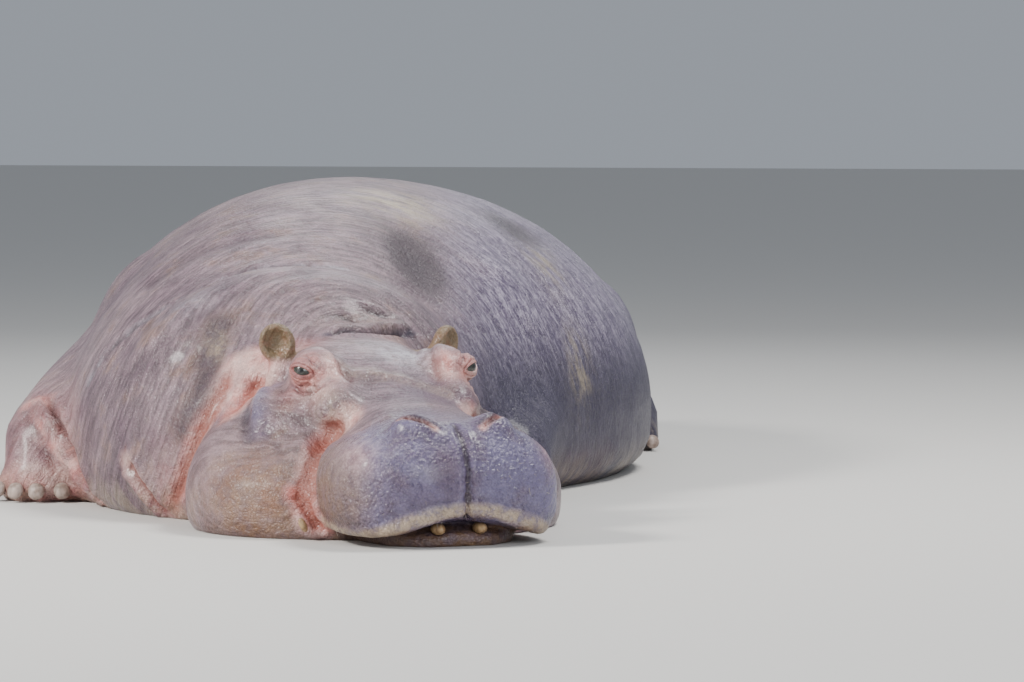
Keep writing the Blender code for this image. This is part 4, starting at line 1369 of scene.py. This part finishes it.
HORN = stained("nail_horn", rgb(0.37, 0.29, 0.25), rgb(0.20, 0.14, 0.11), 45.0, 0.48, 0.0010)
IVORY = stained("tooth_ivory", rgb(0.46, 0.31, 0.16), rgb(0.22, 0.125, 0.06), 60.0, 0.34, 0.0007)
nails.data.materials.append(HORN)
teeth.data.materials.append(IVORY)
print("nails of", HORN.name, "and teeth of", IVORY.name)

# %% [markdown]
# ## Where the bristles stand
# A hippopotamus is all but bald. It has stiff short bristles on the muzzle and the lips, finer hair on
# the rims of the ears, and a fringe at the tip of the tail. Each triangle of the skin gets a chance by
# its area and by how thick the bristles stand there.

# %% Chances of the bristles
TAIL_TIP = 0.35                      # the hairy part of the tail's height
skin.data.calc_loop_triangles()
corner_points = np.empty(len(skin.data.loop_triangles) * 3, dtype=np.int32)
skin.data.loop_triangles.foreach_get("vertices", corner_points)
corners = points[corner_points.reshape(-1, 3)]
crossed = np.cross(corners[:, 1] - corners[:, 0], corners[:, 2] - corners[:, 0])
areas = np.linalg.norm(crossed, axis=1)
outward = crossed / areas[:, None]
middles = corners.mean(1)
_, at_ahead, at_up = head_places(middles).T
tail_low, tail_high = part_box("tail")
near_tail = (middles > np.array(tail_low) - 0.004) & (middles < np.array(tail_high) + 0.004)
tail_tip = np.all(near_tail, axis=1) & (middles[:, 2] < tail_low.z + TAIL_TIP * (tail_high.z - tail_low.z))
lip_gap = away_from(trail(LIP_EDGE, 60), 0.06, middles)[0]
thick = 0.20 * ease(0.46, 0.56, at_ahead) * ease(0.03, 0.06, at_up) * ease(0.21, 0.15, at_up)
thick += 0.35 * ease(0.035, 0.010, lip_gap)
for s in BOTH_SIDES:
    from_ear = gap_to(head_places(middles), 0.192 * s, -0.005, 0.395)
    thick += 1.5 * ease(0.075, 0.060, from_ear) * ease(0.385, 0.405, at_up)
thick = np.where(tail_tip, 12.0, thick)
chance = thick * areas * (middles[:, 2] > 0.012)
print("triangles where bristles may stand:", int((chance > 0).sum()))

# %% [markdown]
# ## Roots, directions and lengths
# The roots are drawn at random over the skin with a fixed seed. A bristle leans back from the muzzle and
# a little down, and it is short enough to stay clear of the floor. Each root also gets its place on the
# bake map, with the tail's hairs in a strip of their own.

# %% Roots of the bristles
BRISTLES = 900
ROOT_SEED = 7
SHORTEST, LONGEST = 0.008, 0.018
TAIL_HAIR = (0.025, 0.060)
LONGEST_BEHIND_FACE = 0.035
FLOOR_CLEARANCE = 0.002
random = np.random.default_rng(ROOT_SEED)
chosen = random.choice(len(chance), BRISTLES, p=chance / chance.sum())
mix = random.dirichlet((1, 1, 1), BRISTLES)
roots = np.einsum("ij,ijk->ik", mix, corners[chosen])
lie = outward[chosen] + 0.35 * random.normal(size=(BRISTLES, 3)) - 0.25 * np.array(AHEAD) - [0, 0, 0.25]
lie /= np.linalg.norm(lie, axis=1)[:, None]
lengths = random.uniform(SHORTEST, LONGEST, BRISTLES)
lengths = np.where(tail_tip[chosen], random.uniform(*TAIL_HAIR, BRISTLES), lengths)
lengths = np.where(at_ahead[chosen] < 0.1, np.minimum(lengths, LONGEST_BEHIND_FACE), lengths)
lengths = np.minimum(lengths, (roots[:, 2] - FLOOR_CLEARANCE) / np.maximum(-lie[:, 2], 0.05))
root_left, root_ahead, root_up = head_places(roots).T
turn = np.arctan2(root_left, root_up - 0.12) / (2 * math.pi) + 0.5
flat = np.zeros(BRISTLES)
on_head = np.stack([turn, np.clip(root_ahead + 0.30, 0.06, 0.98), flat], axis=1)
tail_spread = (roots - np.array(tail_low)) / (np.array(tail_high) - np.array(tail_low))
on_tail = np.stack([tail_spread[:, 0], 0.05 * tail_spread[:, 2], flat], axis=1)
unwrapped = np.where(tail_tip[chosen][:, None], on_tail, on_head)
root_mesh = bpy.data.meshes.new("bristles")
root_mesh.from_pydata([tuple(v) for v in roots], [], [])
store(root_mesh, "lie", lie, "FLOAT_VECTOR")
store(root_mesh, "length", lengths)
store(root_mesh, "patch", unwrapped, "FLOAT_VECTOR")
bristles = in_scene("bristles", root_mesh)
print("roots:", BRISTLES, "of them on the tail:", int(tail_tip[chosen].sum()))

# %% [markdown]
# ## The bristles' colour
# A bristle is horn, darker at one place and paler at another, with a dull shine.

# %% Bristle material
bristle_material, tree, shader = new_material("bristle")
horn_tone = steps(tree, noise(tree, put(tree, "TexCoord")["Object"], 25.0), 0.4, 0.6)
horn_colour = layer(tree, horn_tone, rgb(0.30, 0.24, 0.19), rgb(0.56, 0.49, 0.41))
give(tree, shader, {"Base Color": horn_colour, "Roughness": 0.45})
print("bristle nodes:", len(tree.nodes))

# %% [markdown]
# ## Bristles on their roots
# Geometry Nodes repeat one shape as often as there are roots. The shape is a cone of three sides, thinned
# and bent. It is turned along each root's own direction and scaled by its length. The tree then makes the
# copies real, spreads each one over its own small patch of the bake map, and gives them their material.

# %% The tree of the bristles
BRISTLE_SIZES = {"Root radius": 0.0005, "Bend": 0.30, "Patch size": 0.003}
MIDDLE_LENGTH = 0.013                # the length for which the root radius is true
setup = bpy.data.node_groups.new("bristles_on_roots", "GeometryNodeTree")
inputs = {}
wanted = {"Geometry": "Geometry"} | dict.fromkeys(BRISTLE_SIZES, "Float") | {"Material": "Material"}
for name, kind in wanted.items():
    inputs[name] = setup.interface.new_socket(name, in_out="INPUT", socket_type="NodeSocket" + kind)
setup.interface.new_socket("Geometry", in_out="OUTPUT", socket_type="NodeSocketGeometry")


def geo(kind, values=None, **settings):
    """The first output of a geometry node that is added to the tree."""
    return put(setup, "GeometryNode" + kind, values, **settings)[0]


def named(name, kind):
    """Reads an attribute of the roots by its name."""
    return geo("InputNamedAttribute", {"Name": name}, data_type=kind)


given = put(setup, "NodeGroupInput")
cone_sizes = {"Vertices": 3, "Side Segments": 3, "Radius Top": 0.02, "Radius Bottom": 1.0, "Depth": 1.0}
cone = geo("MeshCone", cone_sizes, fill_type="NONE")
split = put(setup, "SeparateXYZ", {0: geo("InputPosition")})
bent = times(setup, times(setup, split["Z"], split["Z"]), given["Bend"])
thin = times(setup, given["Root radius"], MIDDLE_LENGTH, "DIVIDE")
side_x = times(setup, times(setup, split["X"], thin), bent, "ADD")
side_y = times(setup, split["Y"], thin)
moved = put(setup, "CombineXYZ", {0: side_x, 1: side_y, 2: split["Z"]})[0]
shaped = geo("SetPosition", {"Geometry": cone, "Position": moved})
turned = put(setup, "FunctionNodeAlignRotationToVector", {"Vector": named("lie", "FLOAT_VECTOR")}, axis="Z")
each = {"Instance": shaped, "Rotation": turned["Rotation"], "Scale": named("length", "FLOAT")}
placed = geo("InstanceOnPoints", {"Points": given["Geometry"]} | each)
solid = geo("RealizeInstances", {"Geometry": placed})
half_patch = times(setup, given["Patch size"], 0.5)
spread = {0: geo("InputNormal"), "Scale": half_patch}
local = put(setup, "VectorMath", spread, operation="SCALE")[0]
corner = put(setup, "VectorMath", {0: named("patch", "FLOAT_VECTOR"), 1: local}, operation="ADD")[0]
bake_map = {"Geometry": solid, "Name": "OFBake", "Value": corner}
mapped = geo("StoreNamedAttribute", bake_map, data_type="FLOAT2", domain="CORNER")
put(setup, "NodeGroupOutput", {0: geo("SetMaterial", {"Geometry": mapped, "Material": given["Material"]})})
print("bristle tree:", len(setup.nodes), "nodes")

# %% [markdown]
# ## From roots to hairs
# A modifier runs the tree on the roots. Its inputs are set by their identifiers before the object is looked
# at for the first time, and then its result becomes a plain mesh.

# %% Grow the bristles
growing = bristles.modifiers.new("grow", "NODES")
growing.node_group = setup
for name, value in (BRISTLE_SIZES | {"Material": bristle_material}).items():
    growing[inputs[name].identifier] = value
settled(bristles)
shade_smooth(bristles.data)
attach(bristles, "root")
print("bristle faces:", len(bristles.data.polygons), "maps:", [uv.name for uv in bristles.data.uv_layers])

# %% [markdown]
# ## Floor
# A plain pale floor shows the form, and how heavily the animal rests on it. It is no part of the model.

# %% Floor
FLOOR_HALF = 30.0
FLOOR_HEIGHT = -0.0005               # just below the animal's flats
ROUND_THE_FLOOR = ((-1, -1), (1, -1), (1, 1), (-1, 1))
floor_corners = [(x * FLOOR_HALF, y * FLOOR_HALF, FLOOR_HEIGHT) for x, y in ROUND_THE_FLOOR]
floor_mesh = bpy.data.meshes.new("floor")
floor_mesh.from_pydata(floor_corners, [], [(0, 1, 2, 3)])
floor = in_scene("floor", floor_mesh)
floor_material, tree, shader = new_material("pale_floor")
give(tree, shader, {"Base Color": rgb(0.60, 0.585, 0.56), "Roughness": 0.85})
floor_mesh.materials.append(floor_material)
print("floor", FLOOR_HALF * 2, "m across")

# %% [markdown]
# ## Light
# Five square lights make a plain studio. The key light is small for a soft light, so that the wet places
# shine in spots and not as a veil over the whole hide. The low light opens the shadows under the muzzle.

# %% Lights
# Place, aim, size, power and colour.
LIGHTS = {
    "key_light": ((-4.2, -3.6, 4.2), (0.0, -0.7, 0.3), 1.2, 500, (1.0, 0.97, 0.93)),
    "fill_light": ((4.0, -6.0, 2.5), (0.2, -0.6, 0.3), 2.6, 190, (0.93, 0.96, 1.0)),
    "top_light": ((2.2, 0.2, 4.6), (0.3, -0.6, 0.4), 1.5, 250, (1.0, 0.99, 0.97)),
    "back_light": ((-0.6, 4.6, 3.5), (0.2, -0.6, 0.4), 2.6, 45, (0.92, 0.96, 1.0)),
    "low_light": ((-4.6, -5.6, 1.5), (-0.3, -0.7, 0.25), 4.5, 165, (1.0, 0.97, 0.95)),
}
for name, (place, aim, size, power, tint) in LIGHTS.items():
    data = bpy.data.lights.new(name, "AREA")
    data.shape = "SQUARE"
    data.size = size
    data.energy = power
    data.color = tint
    light = in_scene(name, data)
    light.location = place
    light.rotation_euler = (Vector(aim) - Vector(place)).to_track_quat("-Z", "Y").to_euler()
world = bpy.data.worlds.new("studio")
world.use_nodes = True
give(world.node_tree, world.node_tree.nodes["Background"], {"Color": rgb(0.82, 0.89, 1.0), "Strength": 0.40})
bpy.context.scene.world = world
print("lights:", ", ".join(LIGHTS))
